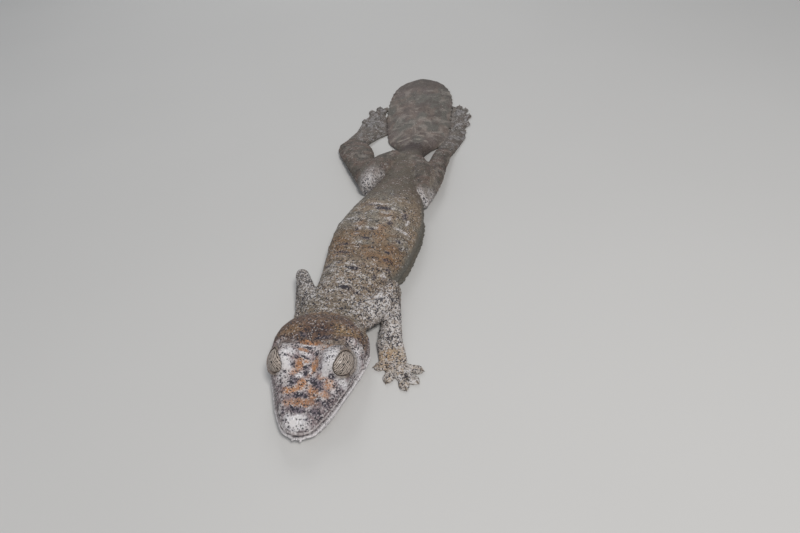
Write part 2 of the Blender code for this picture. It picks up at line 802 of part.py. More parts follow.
def claw(palm, tip):
    """A short claw that leaves the tip of a toe."""
    along = (Vector(tip) - Vector(palm)).normalized()
    root = Vector((tip[0], tip[1], CLAW_HEIGHT)) - Vector((along.x, along.y, 0.0)) * CLAW_ROOT
    ahead = Vector((along.x, along.y, -0.1))
    profile = ((0.0, -0.3), (CLAW_RADIUS, -0.3), (CLAW_RADIUS, CLAW_ROOT), (0.0, CLAW_ROOT + CLAW_LENGTH))
    return turned("claw", profile, root, ahead, 5)


def web(palm, tips, reach):
    """The thin skin that joins the roots of the toes, just clear of the floor."""
    centre = Vector((*palm, WEB_LIFT))
    rim = []
    for k, tip in enumerate(tips):
        rim.append(centre.lerp(Vector((*tip, WEB_LIFT)), reach))
        if k + 1 < len(tips):
            between = (Vector((*tip, WEB_LIFT)) + Vector((*tips[k + 1], WEB_LIFT))) / 2
            rim.append(centre.lerp(between, reach * WEB_HOLLOW))
    rim = [centre] + rim
    up = Vector((0.0, 0.0, WEB_HEIGHT))
    count = len(rim)
    vertices = rim + [p + up for p in rim]
    faces = []
    for k in range(1, count - 1):
        faces.append((0, k, k + 1))
        faces.append((count, count + k + 1, count + k))
    for k in range(count):
        n = (k + 1) % count
        faces.append((k, n, count + n))
        faces.append((k, count + n, count + k))
    return face_outwards(mesh_object("web", vertices, faces))


def make_foot(name, measures, lower, beside_tail):
    """A hand or foot that meets the end of the limb: palm, webbed toes with pads and claws, flat sole."""
    ankle, ankle_width, palm, wide, tall, web_reach, tips = measures
    end = Vector(lower[-1][:3])
    ahead = (end - Vector(lower[-2][:3])).normalized()
    joint = limb_rings(lower, 0.0, (True, False))[-1]
    rings = [[p + ahead * GAP for p in joint]]
    rows = ((*ankle, ANKLE_HEIGHT, ankle_width, ANKLE_HEIGHT), (*palm, tall, wide, tall))
    rings.extend(limb_rings(rows, 0.0, (False, True), 3))
    foot = loft("foot", rings)
    pieces = [web(palm, tips, web_reach)]
    for tip in tips:
        pieces.append(toe(palm, tip))
        pieces.append(claw(palm, tip))
    foot = boolean(foot, pieces, "UNION", "MANIFOLD")
    if beside_tail:
        foot = boolean(foot, [body_cutter(*TAIL_SPAN)], "DIFFERENCE", "MANIFOLD")
    finish_node(foot, name, "limb")


def centre_on_floor():
    """Moves the origin to the middle of the model's box, at floor level."""
    corners = [v.co for obj in bpy.data.objects for v in obj.data.vertices]
    low = [min(c[i] for c in corners) for i in range(3)]
    high = [max(c[i] for c in corners) for i in range(3)]
    shift = Matrix.Translation((-(low[0] + high[0]) / 2, -(low[1] + high[1]) / 2, -low[2]))
    for obj in bpy.data.objects:
        obj.data.transform(shift)


def main():
    clear_scene()
    make_head()
    make_lower_jaw()
    make_eyes()
    make_trunk()
    make_limb("upper_arm_left", "forearm_left", UPPER_ARM_LEFT, FOREARM_LEFT, FOREBODY_SPAN, 1, 31)
    make_limb("upper_arm_right", "forearm_right", UPPER_ARM_RIGHT, FOREARM_RIGHT, FOREBODY_SPAN, -1, 32)
    make_limb("thigh_left", "shank_left", THIGH_LEFT, SHANK_LEFT, HINDBODY_SPAN, 1, 33)
    make_limb("thigh_right", "shank_right", THIGH_RIGHT, SHANK_RIGHT, HINDBODY_SPAN, -1, 34)
    make_foot("hand_left", HAND_LEFT, FOREARM_LEFT, False)
    make_foot("hand_right", HAND_RIGHT, FOREARM_RIGHT, False)
    make_foot("foot_left", FOOT_LEFT, SHANK_LEFT, True)
    make_foot("foot_right", FOOT_RIGHT, SHANK_RIGHT, True)
    centre_on_floor()


main()
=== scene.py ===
"""Mossy leaf-tailed gecko, a still life-size model: skin, eyes and claws on a plain pale floor.

Lengths are in millimetres in the animal's own frame until each piece is placed: the nape is at
the origin, +Y runs towards the tail, +X to the animal's left and +Z up from the floor.
s is the length along the spine from the nape, negative along the head, d the way to the left.
"""

import math

import bmesh
import bpy
import numpy as np
from mathutils import Matrix, Vector


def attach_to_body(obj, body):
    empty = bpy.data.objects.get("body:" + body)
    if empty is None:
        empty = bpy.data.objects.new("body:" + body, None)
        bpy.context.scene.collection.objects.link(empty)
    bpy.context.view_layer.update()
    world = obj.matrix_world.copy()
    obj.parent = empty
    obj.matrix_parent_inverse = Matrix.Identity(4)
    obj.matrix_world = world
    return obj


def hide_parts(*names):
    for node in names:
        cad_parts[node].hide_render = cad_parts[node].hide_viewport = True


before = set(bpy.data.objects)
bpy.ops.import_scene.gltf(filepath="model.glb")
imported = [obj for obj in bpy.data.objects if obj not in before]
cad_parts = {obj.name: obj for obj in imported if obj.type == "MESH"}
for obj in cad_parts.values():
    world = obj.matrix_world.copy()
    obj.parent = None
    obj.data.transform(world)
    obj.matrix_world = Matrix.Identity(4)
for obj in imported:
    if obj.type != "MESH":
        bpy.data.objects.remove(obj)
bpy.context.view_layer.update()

MM = 0.001
SEED = 7
# From the animal's frame to the model's: the origin is the middle of the box at floor level
ORIGIN_SHIFT = (0.5962, -59.9762, 0.0)

# Spine: heading away from the head at each length, in radians from +Y towards +X
HEADING = (
    (-40.0, -0.119), (-1.0, -0.119), (8.0, 0.09), (22.0, 0.11), (32.0, 0.065), (47.0, 0.005),
    (60.0, -0.045), (73.0, -0.115), (85.0, -0.14), (97.0, -0.18), (160.0, -0.18),
)
SNOUT_END = -33.8
TAIL_TIP = 155.4
# Body sections: s, half width, height of the back, height of the widest line, lowest height
SECTIONS = (
    (-33.8, 1.4, 4.5, 3.7, 3.0), (-32.6, 3.4, 5.6, 3.7, 2.5), (-30.5, 4.9, 6.7, 3.7, 2.1),
    (-27.0, 6.8, 7.8, 3.8, 1.7), (-22.0, 8.8, 8.8, 3.9, 1.3), (-17.0, 10.8, 9.7, 4.1, 1.1),
    (-12.0, 12.4, 11.0, 4.3, 1.0), (-8.0, 13.0, 12.0, 4.4, 0.9), (-4.5, 12.4, 12.2, 4.5, 0.6),
    (-1.5, 10.9, 11.3, 4.4, 0.2), (1.0, 9.4, 9.9, 4.3, 0.0), (6.0, 8.6, 9.2, 4.1, -0.4),
    (12.0, 9.3, 9.9, 4.1, -0.4), (22.0, 11.5, 10.7, 3.9, -0.4), (32.0, 13.2, 11.1, 3.7, -0.4),
    (41.0, 13.6, 11.1, 3.6, -0.4), (50.0, 12.3, 10.6, 3.5, -0.4), (58.0, 10.0, 9.8, 3.5, -0.4),
    (66.0, 7.2, 9.0, 3.5, -0.4), (74.0, 6.0, 8.3, 3.3, -0.4), (82.0, 5.5, 7.2, 3.0, -0.4),
    (90.0, 4.6, 5.6, 2.3, -0.4), (93.0, 5.5, 5.0, 1.6, -0.3), (96.0, 7.1, 4.6, 1.1, -0.3),
    (99.0, 9.8, 4.3, 0.85, -0.3), (102.0, 11.7, 4.1, 0.7, -0.3), (106.0, 12.4, 3.9, 0.6, -0.3),
    (114.0, 12.9, 3.6, 0.55, -0.3), (128.0, 13.7, 3.1, 0.5, -0.3), (138.0, 13.4, 2.6, 0.5, -0.3),
    (146.0, 11.6, 2.2, 0.5, -0.3), (151.5, 8.4, 1.7, 0.5, -0.3), (154.4, 4.6, 1.3, 0.5, -0.3),
    (155.4, 1.4, 1.1, 0.5, -0.3),
)
# How far the middle of the body lies to the left of the spine line: s, distance
SIDE_SHIFT = (
    (-34.0, -0.55), (-24.0, -0.55), (-15.0, -0.45), (-6.0, -0.4), (0.0, -0.3), (10.0, 0.0), (18.0, 0.0),
    (26.0, -0.5), (31.0, -0.9), (36.0, -1.3), (41.0, -1.5), (47.0, -1.4), (59.0, -1.2), (66.0, -1.1),
    (74.0, -0.7), (82.0, -0.3), (90.0, 0.0), (94.0, 0.5), (97.0, 1.3), (101.0, 1.6), (106.0, 1.3),
    (113.0, 0.8), (122.0, 0.4), (138.0, 0.4), (148.0, -0.1), (156.0, -0.2),
)
# Powers of the upper half of each section: s, across, upwards
ROUNDNESS = (
    (-33.8, 2.3, 2.3), (-22.0, 2.6, 2.4), (-10.0, 2.5, 2.4), (0.0, 2.3, 2.2), (88.0, 2.3, 2.1),
    (104.0, 1.9, 1.2), (156.0, 1.9, 1.1),
)
BELLY_ROUNDNESS = 2.5

# Mouth, eyes and the rest of the head
MOUTH_FRONT = (-37.8, 3.75)
MOUTH_CORNER = (-8.5, 4.5)
LIP_REACH = 0.52
LABIAL_PITCH = 0.85
EYE_RADIUS = 4.0
BULGE_RADIUS = 4.45
BULGE_REACH = 9.0
EYE_SIDE = 7.05
EYE_S = -15.6
EYE_HEIGHT = 8.9
EYE_AXIS = {1: (0.70, -0.40, 0.59), -1: (0.62, -0.46, 0.63)}
EYE_OPENING = (3.42, 2.72)
EYE_LONG_AXIS = 1.48
PUPIL_AXIS = 1.30
# Dark points of the closed pupil: place along the slit, place aside, size
PINHOLES = ((2.1, 0.1, 0.19), (0.35, 0.0, 0.28), (-0.75, -0.35, 0.30), (-2.0, 0.1, 0.21))
BROW_PATH = ((1.4, -11.0), (4.6, -9.3), (8.0, -8.7), (10.7, -10.0), (12.3, -13.2))
BROW_RADIUS = 0.7
NOSTRIL = (-31.8, 2.5, 6.15)
NOSTRIL_RIM = 0.72
NOSTRIL_RADIUS = 0.42
EAR_S = -4.6
EAR_HEIGHT = 6.4
EAR_RADIUS = (0.7, 1.2, 1.0)

# Limbs: x, y, z, half width, half height along the upper and the lower segment, outer side
LIMBS = {
    "arm_left": (
        ((7.0, 4.2, 5.0, 4.3, 3.2), (10.6, 8.6, 5.2, 4.1, 3.0), (13.2, 17.7, 5.2, 2.0, 2.2)),
        ((13.6, 17.3, 3.6, 1.8, 1.9), (15.2, 9.6, 3.0, 2.3, 2.1), (16.5, 3.4, 2.3, 2.9, 1.7),
         (17.3, -0.4, 1.7, 3.4, 1.4)),
        1,
    ),
    "arm_right": (
        ((-6.3, 5.4, 5.2, 3.5, 2.9), (-10.8, 10.9, 6.0, 2.7, 2.6), (-14.5, 16.7, 6.1, 2.0, 2.1)),
        ((-14.6, 16.1, 4.3, 1.8, 1.9), (-12.5, 10.4, 3.4, 2.0, 1.9), (-11.0, 5.4, 2.4, 1.8, 1.6),
         (-10.7, 1.8, 1.6, 1.7, 1.2)),
        -1,
    ),
    "leg_left": (
        ((3.4, 81.0, 4.6, 3.8, 3.4), (7.6, 72.0, 5.5, 3.8, 3.3), (9.9, 62.7, 5.1, 2.1, 2.4)),
        ((11.1, 60.4, 3.1, 1.8, 2.2), (11.4, 71.0, 3.2, 3.1, 2.7), (10.6, 84.0, 2.7, 3.3, 2.3),
         (10.6, 94.0, 1.9, 3.0, 1.7)),
        1,
    ),
    "leg_right": (
        ((-4.2, 83.2, 4.4, 4.7, 3.2), (-8.9, 76.2, 5.0, 5.0, 3.2), (-9.6, 66.2, 5.0, 2.7, 2.6)),
        ((-10.6, 66.2, 3.2, 2.2, 2.3), (-15.4, 76.6, 3.2, 4.5, 2.8), (-20.8, 86.6, 2.7, 5.9, 2.4),
         (-25.0, 93.0, 1.8, 5.7, 1.7)),
        -1,
    ),
}
# Feet: ankle and half width there, middle of the palm, its half width and half height, reach of
# the web towards the tips, tips of the toes
FEET = {
    "arm_left": (
        (17.7, -1.2), 3.3, (19.4, -5.4), 3.5, 0.9, 0.72,
        ((14.9, -7.8), (19.4, -11.8), (24.9, -12.9), (27.3, -10.3), (27.6, -6.4)),
    ),
    "arm_right": (
        (-10.7, 1.2), 1.6, (-10.7, -1.4), 2.3, 0.9, 0.7,
        ((-7.1, -5.2), (-9.3, -7.8), (-12.3, -8.1), (-14.9, -6.1), (-15.3, -2.4)),
    ),
    "leg_left": (
        (10.8, 94.8), 2.9, (12.0, 108.5), 3.4, 1.0, 0.9,
        ((8.9, 132.0), (11.9, 130.0), (14.3, 125.4), (15.2, 119.0), (15.3, 112.2)),
    ),
    "leg_right": (
        (-24.8, 98.2), 4.3, (-21.9, 107.6), 5.0, 1.0, 0.96,
        ((-28.4, 116.2), (-27.5, 124.2), (-24.8, 127.4), (-21.6, 127.0), (-19.0, 118.5)),
    ),
}
# Further corners of the webs of the hind feet: before the first toe, after the last
WEB_EDGES = {
    "leg_left": (((8.6, 103.0), (6.5, 112.0), (4.5, 122.0), (4.2, 132.0)), ((16.2, 107.5), (15.0, 101.0))),
    "leg_right": ((), ((-17.0, 115.5), (-14.5, 107.0), (-18.0, 102.8))),
}
# How far along the spine the webs lie against the tail: on the left, on the right
WEB_ENDS = (133.0, 127.5)
ANKLE_HEIGHT = 1.15
TOE_START = 0.18
TOE_HALF_WIDTH = 0.95
PAD_HALF_WIDTH = 1.45
TOE_TOP = 1.3
PAD_TOP = 0.95
PAD_LENGTH = 3.1
WEB_HOLLOW = 0.88
WEB_TOP = 0.7
ANKLE_SOFTNESS = {"arm": 0.9, "leg": 1.2}
KNEE_SOFTNESS = {"arm": 0.6, "leg": 2.8}
# How far round its stations a limb is looked at
LIMB_MARGIN = 5.5
CLAW_LENGTH = 1.2
CLAW_RADIUS = 0.2

# Skin fringe: lobes along the flanks, the jaw, the lower limbs and the tail's edge
FLANK_SPAN = (23.0, 54.5)
FLANK_REACH = 0.6
FLANK_HEIGHT = 1.0
FOLD_GROOVE = 0.22
FOLD_SWELL = 0.2
LOBE_PITCH = 1.55
JAW_SPAN = (-31.2, -10.1)
JAW_REACH = 0.25
LIMB_FRINGE_REACH = 0.5
TAIL_NOTCH_PITCH = 3.3
TAIL_NOTCH = 0.3

# Knees with pale tubercles: x, y, reach, strength
KNEES = (
    (-5.2, 69.2, 3.2, 0.75), (-9.8, 69.4, 3.4, 0.55), (-7.2, 63.2, 3.4, 1.0), (-9.4, 65.2, 3.6, 1.0),
    (-5.6, 67.0, 2.6, 0.8), (-11.5, 68.0, 3.0, 0.5), (-8.8, 60.4, 3.0, 0.9), (10.0, 60.4, 2.6, 1.0),
    (13.0, 58.6, 3.4, 1.0), (14.6, 63.0, 3.0, 0.8),
)

# Width of a single scale, and the values that each part of the skin carries for its scales
SCALE_SIZE = 0.30
CHANCES = ("black", "pale", "rust", "grain")

# Mesh: size of a cell, reach of a slope's differences, rows at a time, and where the head's finer part is
CELL = 0.42
SLOPE_REACH = 0.06
SLAB = 40
FINE_END = 4.0
FINE_MIDDLE = 2.0
FINE_HALF_WIDTH = 15.5
GRID_LOW = (-31.5, -36.0, -1.2)
GRID_HIGH = (30.5, 157.0, 14.4)

FLESH_NODES = (
    "head", "lower_jaw", "neck", "chest", "abdomen", "pelvis", "tail_base", "tail_leaf",
    "upper_arm_left", "upper_arm_right", "forearm_left", "forearm_right", "hand_left", "hand_right",
    "thigh_left", "thigh_right", "shank_left", "shank_right", "foot_left", "foot_right",
)


# Small helpers on arrays

def curve(rows, at):
    """Smooth curve through rows of (length, values) at an array of lengths, flat beyond the ends."""
    rows = np.asarray(rows, dtype=float)
    at = np.clip(at, rows[0, 0], rows[-1, 0])
    i = np.clip(np.searchsorted(rows[:, 0], at, side="right") - 1, 0, len(rows) - 2)
    a = rows[i]
    b = rows[i + 1]
    before = rows[np.maximum(i - 1, 0)]
    after = rows[np.minimum(i + 2, len(rows) - 1)]
    span = b[:, :1] - a[:, :1]
    t = (at[:, None] - a[:, :1]) / span
    slope_a = (b - before) / (b[:, :1] - before[:, :1]) * span
    slope_b = (after - a) / (after[:, :1] - a[:, :1]) * span
    value = a * (1 - t) ** 2 * (1 + 2 * t) + b * t * t * (3 - 2 * t)
    return (value + slope_a * t * (1 - t) ** 2 - slope_b * t * t * (1 - t))[:, 1:]


def smooth_min(a, b, k):
    h = np.maximum(k - np.abs(a - b), 0.0) / k
    return np.minimum(a, b) - h * h * k * 0.25


def smooth_max(a, b, k):
    return -smooth_min(-a, -b, k)


def step(value, low, high):
    t = np.clip((value - low) / (high - low), 0.0, 1.0)
    return t * t * (3 - 2 * t)


def hump(value, middle, reach):
    """A smooth hill of height 1 about a value."""
    return np.exp(-((value - middle) / reach) ** 2)


def lattice(ix, iy, iz, seed):
    """A fixed random number from 0 to 1 for each whole-numbered place."""
    h = (ix * 73856093) ^ (iy * 19349663) ^ (iz * 83492791) ^ (seed * 2654435761)
    h = (h ^ (h >> 13)) * 1274126177
    h = h ^ (h >> 16)
    return (h & 0xFFFFFF).astype(float) / 0xFFFFFF


def noise(p, size, seed=0, stretch=(1.0, 1.0, 1.0)):
    """Smooth noise from 0 to 1 with lumps of about the given size."""
    q = p / (size * np.asarray(stretch)) + 1000.0
    base = np.floor(q).astype(np.int64)
    t = q - base
    t = t * t * (3 - 2 * t)
    total = np.zeros(len(p))
    for dx in (0, 1):
        for dy in (0, 1):
            for dz in (0, 1):
                weight = (
                    (t[:, 0] if dx else 1 - t[:, 0])
                    * (t[:, 1] if dy else 1 - t[:, 1])
                    * (t[:, 2] if dz else 1 - t[:, 2])
                )
                total += weight * lattice(base[:, 0] + dx, base[:, 1] + dy, base[:, 2] + dz, seed)
    return total


def lumps(p, size, seed=0, octaves=3, stretch=(1.0, 1.0, 1.0)):
    """Layered noise, about 0.5 in the middle."""
    total = np.zeros(len(p))
    weight = 1.0
    whole = 0.0
    for k in range(octaves):
        total += weight * noise(p, size / 2 ** k, seed + 17 * k, stretch)
        whole += weight
        weight *= 0.55
    return total / whole


# The spine and the trunk's sections as tables

TABLE_S = np.arange(-60.0, 185.0, 0.25)
TABLE_HEADING = curve(HEADING, TABLE_S)[:, 0]
MIDDLE_HEADING = (TABLE_HEADING[1:] + TABLE_HEADING[:-1]) / 2
TABLE_X = np.concatenate([[0.0], np.cumsum(np.sin(MIDDLE_HEADING) * 0.25)])
TABLE_Y = np.concatenate([[0.0], np.cumsum(np.cos(MIDDLE_HEADING) * 0.25)])
TABLE_X -= np.interp(0.0, TABLE_S, TABLE_X)
TABLE_Y -= np.interp(0.0, TABLE_S, TABLE_Y)
TABLE_SECTION = curve(SECTIONS, TABLE_S)
TABLE_ROUND = curve(ROUNDNESS, TABLE_S)
TABLE_SHIFT = curve(SIDE_SHIFT, TABLE_S)[:, 0]
TABLE_X += TABLE_SHIFT * np.cos(TABLE_HEADING)
TABLE_Y -= TABLE_SHIFT * np.sin(TABLE_HEADING)


def on_table(s, column):
    return np.interp(s, TABLE_S, column)


def to_spine(p):
    """Length along the spine and distance to the animal's left, for points of the animal's frame."""
    s = p[:, 1].copy()
    for _ in range(7):
        heading = on_table(s, TABLE_HEADING)
        off_x = p[:, 0] - on_table(s, TABLE_X)
        off_y = p[:, 1] - on_table(s, TABLE_Y)
        s = np.clip(s + off_x * np.sin(heading) + off_y * np.cos(heading), -55.0, 180.0)
    heading = on_table(s, TABLE_HEADING)
    off_x = p[:, 0] - on_table(s, TABLE_X)
    off_y = p[:, 1] - on_table(s, TABLE_Y)
    return s, off_x * np.cos(heading) - off_y * np.sin(heading)


def spine_point(s, side=0.0, height=0.0):
    heading = float(on_table(s, TABLE_HEADING))
    x = float(on_table(s, TABLE_X)) + side * math.cos(heading)
    y = float(on_table(s, TABLE_Y)) - side * math.sin(heading)
    return np.array([x, y, height])


def bump(s, d, at_s, at_d, size_s, size_d):
    """A soft round mound on both sides of the spine."""
    return np.exp(-((s - at_s) / size_s) ** 2 - ((np.abs(d) - at_d) / size_d) ** 2)


def lobes(length, pitch, seed, sharp=0.65):
    """Heights from 0 to about 1 of a row of uneven rounded lobes along a length."""
    phase = length / pitch + 0.35 * np.sin(length * 0.9 + seed)
    whole = np.floor(phase).astype(np.int64)
    size = 0.7 + 0.45 * lattice(whole, whole * 0 + seed, whole * 0, SEED)
    return size * np.abs(np.sin(math.pi * phase)) ** sharp


# The trunk and the head

def trunk(s, d, z):
    """Signed distance, nearly, from the surface of head, trunk and tail."""
    half_width = on_table(s, TABLE_SECTION[:, 0])
    top = on_table(s, TABLE_SECTION[:, 1])
    side = on_table(s, TABLE_SECTION[:, 2])
    low = on_table(s, TABLE_SECTION[:, 3])
    across = on_table(s, TABLE_ROUND[:, 0])
    upwards = on_table(s, TABLE_ROUND[:, 1])
    notch = 0.5 - 0.5 * np.cos(2 * math.pi * (s - 103.0) / TAIL_NOTCH_PITCH + 0.6 * np.sin(s * 0.7))
    half_width = half_width - TAIL_NOTCH * notch * step(s, 101.0, 106.0) * np.minimum(1.0, half_width / 8.0)
    upper = z >= side
    tall = np.where(upper, top - side, side - low)
    across = np.where(upper, across, BELLY_ROUNDNESS)
    upwards = np.where(upper, upwards, BELLY_ROUNDNESS)
    u = np.abs(d) / half_width
    v = np.abs(z - side) / tall
    level = u ** across + v ** upwards - 1.0
    slope_u = across * np.maximum(u, 1e-6) ** (across - 1) / half_width
    slope_v = upwards * np.maximum(v, 1e-6) ** (upwards - 1) / tall
    slope = np.sqrt(slope_u ** 2 + slope_v ** 2)
    near = level / np.maximum(slope, 0.6 / tall)
    near = smooth_max(near, SNOUT_END + 0.1 - s, 1.6)
    return smooth_max(near, s - TAIL_TIP + 0.1, 0.6)


def mouth_height(s):
    run = np.clip((s - MOUTH_FRONT[0]) / (MOUTH_CORNER[0] - MOUTH_FRONT[0]), 0.0, 1.15)
    return MOUTH_FRONT[1] + (MOUTH_CORNER[1] - MOUTH_FRONT[1]) * run


def face_relief(s, d):
    """How far the top of the head stands above its plain section."""
    relief = 0.40 * bump(s, d, -31.6, 2.2, 2.0, 1.1)
    relief -= 0.30 * bump(s, d, -29.5, 0.0, 3.5, 1.6)
    relief += 0.38 * bump(s, d, -26.5, 4.6, 3.6, 1.0)
    relief += 0.30 * bump(s, d, -22.5, 5.4, 3.0, 1.1)
    relief -= 0.45 * bump(s, d, -24.5, 1.6, 5.0, 2.2)
    relief -= 0.75 * bump(s, d, -15.5, 0.0, 4.2, 2.4)
    relief -= 0.40 * bump(s, d, -8.5, 0.0, 2.2, 2.2)
    relief += 0.30 * bump(s, d, -6.0, 5.0, 3.0, 3.0)
    relief -= 0.35 * bump(s, d, -1.0, 0.0, 2.0, 5.0)
    return relief


def eye_place(side):
    centre = spine_point(EYE_S, side * EYE_SIDE, EYE_HEIGHT)
    aside, along, up = EYE_AXIS[side]
    tip = spine_point(EYE_S + along, side * (EYE_SIDE + aside), EYE_HEIGHT + up)
    axis = tip - centre
    return centre, axis / np.linalg.norm(axis)


def eye_frame(side, turn):
    """Directions along and across an eye, turned back from upright by an angle."""
    centre, axis = eye_place(side)
    upright = np.array([0.0, 0.0, 1.0]) - axis[2] * axis
    upright /= np.linalg.norm(upright)
    backward = np.cross(upright, axis) * side
    along = upright * math.cos(turn) + backward * math.sin(turn)
    return centre, axis, along, np.cross(along, axis)


def about_eye(p, side):
    """Height along an eye's axis, distance from it, angle about it and the opening's radius there."""
    centre, axis, along, across = eye_frame(side, EYE_LONG_AXIS)
    v = p - centre
    t = v @ axis
    a = v @ along
    b = v @ across
    r = np.hypot(a, b)
    angle = np.arctan2(b, a)
    opening = 1.0 / np.sqrt((np.cos(angle) / EYE_OPENING[0]) ** 2 + (np.sin(angle) / EYE_OPENING[1]) ** 2)
    return t, r, angle, opening


def ring(t, r, angle, opening, outside, sphere, thick, count, relief):
    """An oval rim about an eye that lies on a sphere, made of small scales."""
    at_r = opening + outside
    at_t = np.sqrt(np.maximum(sphere ** 2 - at_r ** 2, 0.0))
    scales = relief * np.abs(np.sin(angle * count / 2)) ** 0.7
    return np.hypot(t - at_t, r - at_r) - thick - scales


def eye_surround(p, f):
    """The bulge that carries each eye, with its oval opening and double rim."""
    for side in (1, -1):
        centre, _ = eye_place(side)
        near = np.linalg.norm(p - centre, axis=1) < BULGE_REACH
        t, r, angle, opening = about_eye(p[near], side)
        part = smooth_min(f[near], np.hypot(t, r) - BULGE_RADIUS, 2.4)
        behind = 1 - step(np.cos(angle - 0.3 * side), -0.1, 0.6)
        part = smooth_min(part, ring(t, r, angle, opening, 1.1, 4.5, 0.2, 46, 0.06) + 1.2 * behind, 0.4)
        part = smooth_max(part, np.minimum(opening + 0.1 - r, t - 0.4), 0.12)
        f[near] = smooth_min(part, ring(t, r, angle, opening, 0.26, 4.12, 0.24, 54, 0.05), 0.12)
    return f


def tube(p, path):
    """Signed distance to a tube of oval section along a path, with where each point lies beside it.

    Rows of the path are x, y, z, half width, half height. Also gives the offset sideways and
    upwards, the half width there and the length along the path.
    """
    best = np.full(len(p), 1e9)
    out = np.zeros((4, len(p)))
    length = 0.0
    for a, b in zip(path[:-1], path[1:]):
        run = b[:3] - a[:3]
        size = np.linalg.norm(run)
        ahead = run / size
        sideways = np.cross(ahead, (0.0, 0.0, 1.0))
        sideways /= max(np.linalg.norm(sideways), 1e-9)
        upwards = np.cross(sideways, ahead)
        t = np.clip((p - a[:3]) @ ahead / size, 0.0, 1.0)
        v = p - a[:3] - t[:, None] * run
        u = v @ sideways
        w = v @ upwards
        beyond = v @ ahead
        wide = a[3] + t * (b[3] - a[3])
        tall = a[4] + t * (b[4] - a[4])
        ratio = np.sqrt((u / wide) ** 2 + (w / tall) ** 2 + (beyond / (0.8 * np.minimum(wide, tall))) ** 2)
        radius = np.sqrt(u * u + w * w + beyond * beyond)
        f = np.where(ratio < 0.05, -np.minimum(wide, tall), radius - radius / np.maximum(ratio, 0.05))
        closer = f < best
        best = np.where(closer, f, best)
        for k, value in enumerate((u, w, wide, length + t * size)):
            out[k] = np.where(closer, value, out[k])
        length += size
    return best, out


def box_mask(p, points, margin):
    low = np.min(points, axis=0) - margin
    high = np.max(points, axis=0) + margin
    return np.all((p > low) & (p < high), axis=1)


def brow_path(side):
    rows = np.array([(i, side * row[0], row[1]) for i, row in enumerate(BROW_PATH)], dtype=float)
    flat = curve(rows, np.linspace(0, len(BROW_PATH) - 1, 9))
    path = []
    for k, (across, s) in enumerate(flat):
        half_width, top, widest, _ = curve(SECTIONS, np.array([s]))[0]
        power_u, power_v = curve(ROUNDNESS, np.array([s]))[0]
        inside = max(0.0, 1.0 - abs(across / half_width) ** power_u)
        height = widest + (top - widest) * inside ** (1 / power_v)
        size = BROW_RADIUS * (0.75 + 0.25 * math.sin(math.pi * k / 8))
        path.append([*spine_point(s, across, height + 0.1), size, size * 0.85])
    return np.array(path)


BROWS = [brow_path(side) for side in (1, -1)]


def spike(p, f, root, tip, radius):
    """A small cone that grows from the skin."""
    path = np.array([[*root, radius, radius], [*tip, 0.1, 0.1]])
    near = box_mask(p, path[:, :3], 1.2)
    f[near] = smooth_min(f[near], tube(p[near], path)[0], 0.25)
    return f


def ellipsoid(p, centre, radii):
    v = (p - centre) / radii
    return (np.sqrt(np.sum(v * v, axis=1)) - 1.0) * min(radii)


def head_forms(p, s, d, z, f):
    """Lips, brows, eye rims, nostrils, ears and chin spikes on the plain head."""
    near = s < 3.0
    if not np.any(near):
        return f
    q = p[near]
    sn = s[near]
    dn = d[near]
    zn = z[near]
    part = f[near]
    mouth = mouth_height(sn)
    open_run = 1.0 - step(sn, MOUTH_CORNER[0] - 0.8, MOUTH_CORNER[0] + 0.6)
    below = step(mouth - zn, -0.12, 0.12) * step(zn, 0.6, 2.6)
    part = part - LIP_REACH * below * open_run
    labial = np.abs(np.sin(math.pi * (sn + 0.15 * np.abs(dn)) / LABIAL_PITCH)) ** 0.6
    upper_lip = hump(zn - mouth, 0.62, 0.34)
    lower_lip = hump(zn - mouth, -0.6, 0.36)
    part = part - (0.16 * upper_lip + 0.16 * lower_lip) * (0.45 + 0.55 * labial) * open_run
    part = part + 0.5 * hump(zn - mouth, 0.0, 0.16) * open_run
    part = part + 0.14 * hump(zn - mouth, 1.0, 0.15) * open_run
    strip = np.maximum(np.abs(zn - (mouth - 1.9)) - 0.36, 0.0)
    reach = on_table(sn, TABLE_SECTION[:, 0]) - 0.25 + JAW_REACH * lobes(sn, 1.2, 5)
    inside = step(sn, JAW_SPAN[0] - 0.8, JAW_SPAN[0] + 0.8) * (1 - step(sn, JAW_SPAN[1] - 2.0, JAW_SPAN[1]))
    fringe = np.hypot(strip, np.maximum(np.abs(dn) - reach, 0.0)) - 0.1 + 2.0 * (1 - inside)
    part = smooth_min(part, fringe, 0.4)
    for path in BROWS:
        here = box_mask(q, path[:, :3], 2.5)
        part[here] = smooth_min(part[here], tube(q[here], path)[0], 0.75)
    part = eye_surround(q, part)
    for side in (1, -1):
        nostril_s, nostril_d, height = NOSTRIL
        rim = np.linalg.norm(q - spine_point(nostril_s, side * nostril_d, height), axis=1)
        part = part - 0.16 * hump(rim, NOSTRIL_RIM, 0.3)
        part = smooth_max(part, -(rim - NOSTRIL_RADIUS), 0.15)
        half_width = float(on_table(EAR_S, TABLE_SECTION[:, 0]))
        ear = spine_point(EAR_S, side * (half_width - 0.2), EAR_HEIGHT)
        part = smooth_max(part, -ellipsoid(q, ear, np.array(EAR_RADIUS)), 0.3)
        chin = spine_point(SNOUT_END + 0.7, side * 0.85, 3.0)
        tip = spine_point(SNOUT_END - 1.5, side * 1.1, 2.9)
        part = spike(q, part, chin, tip, 0.42)
        lip = spine_point(-26.0, side * 6.8, 2.9)
        part = spike(q, part, lip, lip + side * np.array([1.15, -0.35 * side, 0.1]), 0.36)
        behind = spine_point(EYE_S + 3.2, side * 11.4, 8.2)
        part = spike(q, part, behind, behind + np.array([side * 1.3, 0.1, 0.5]), 0.36)
    f[near] = part
    return f


# Fringes of the flanks

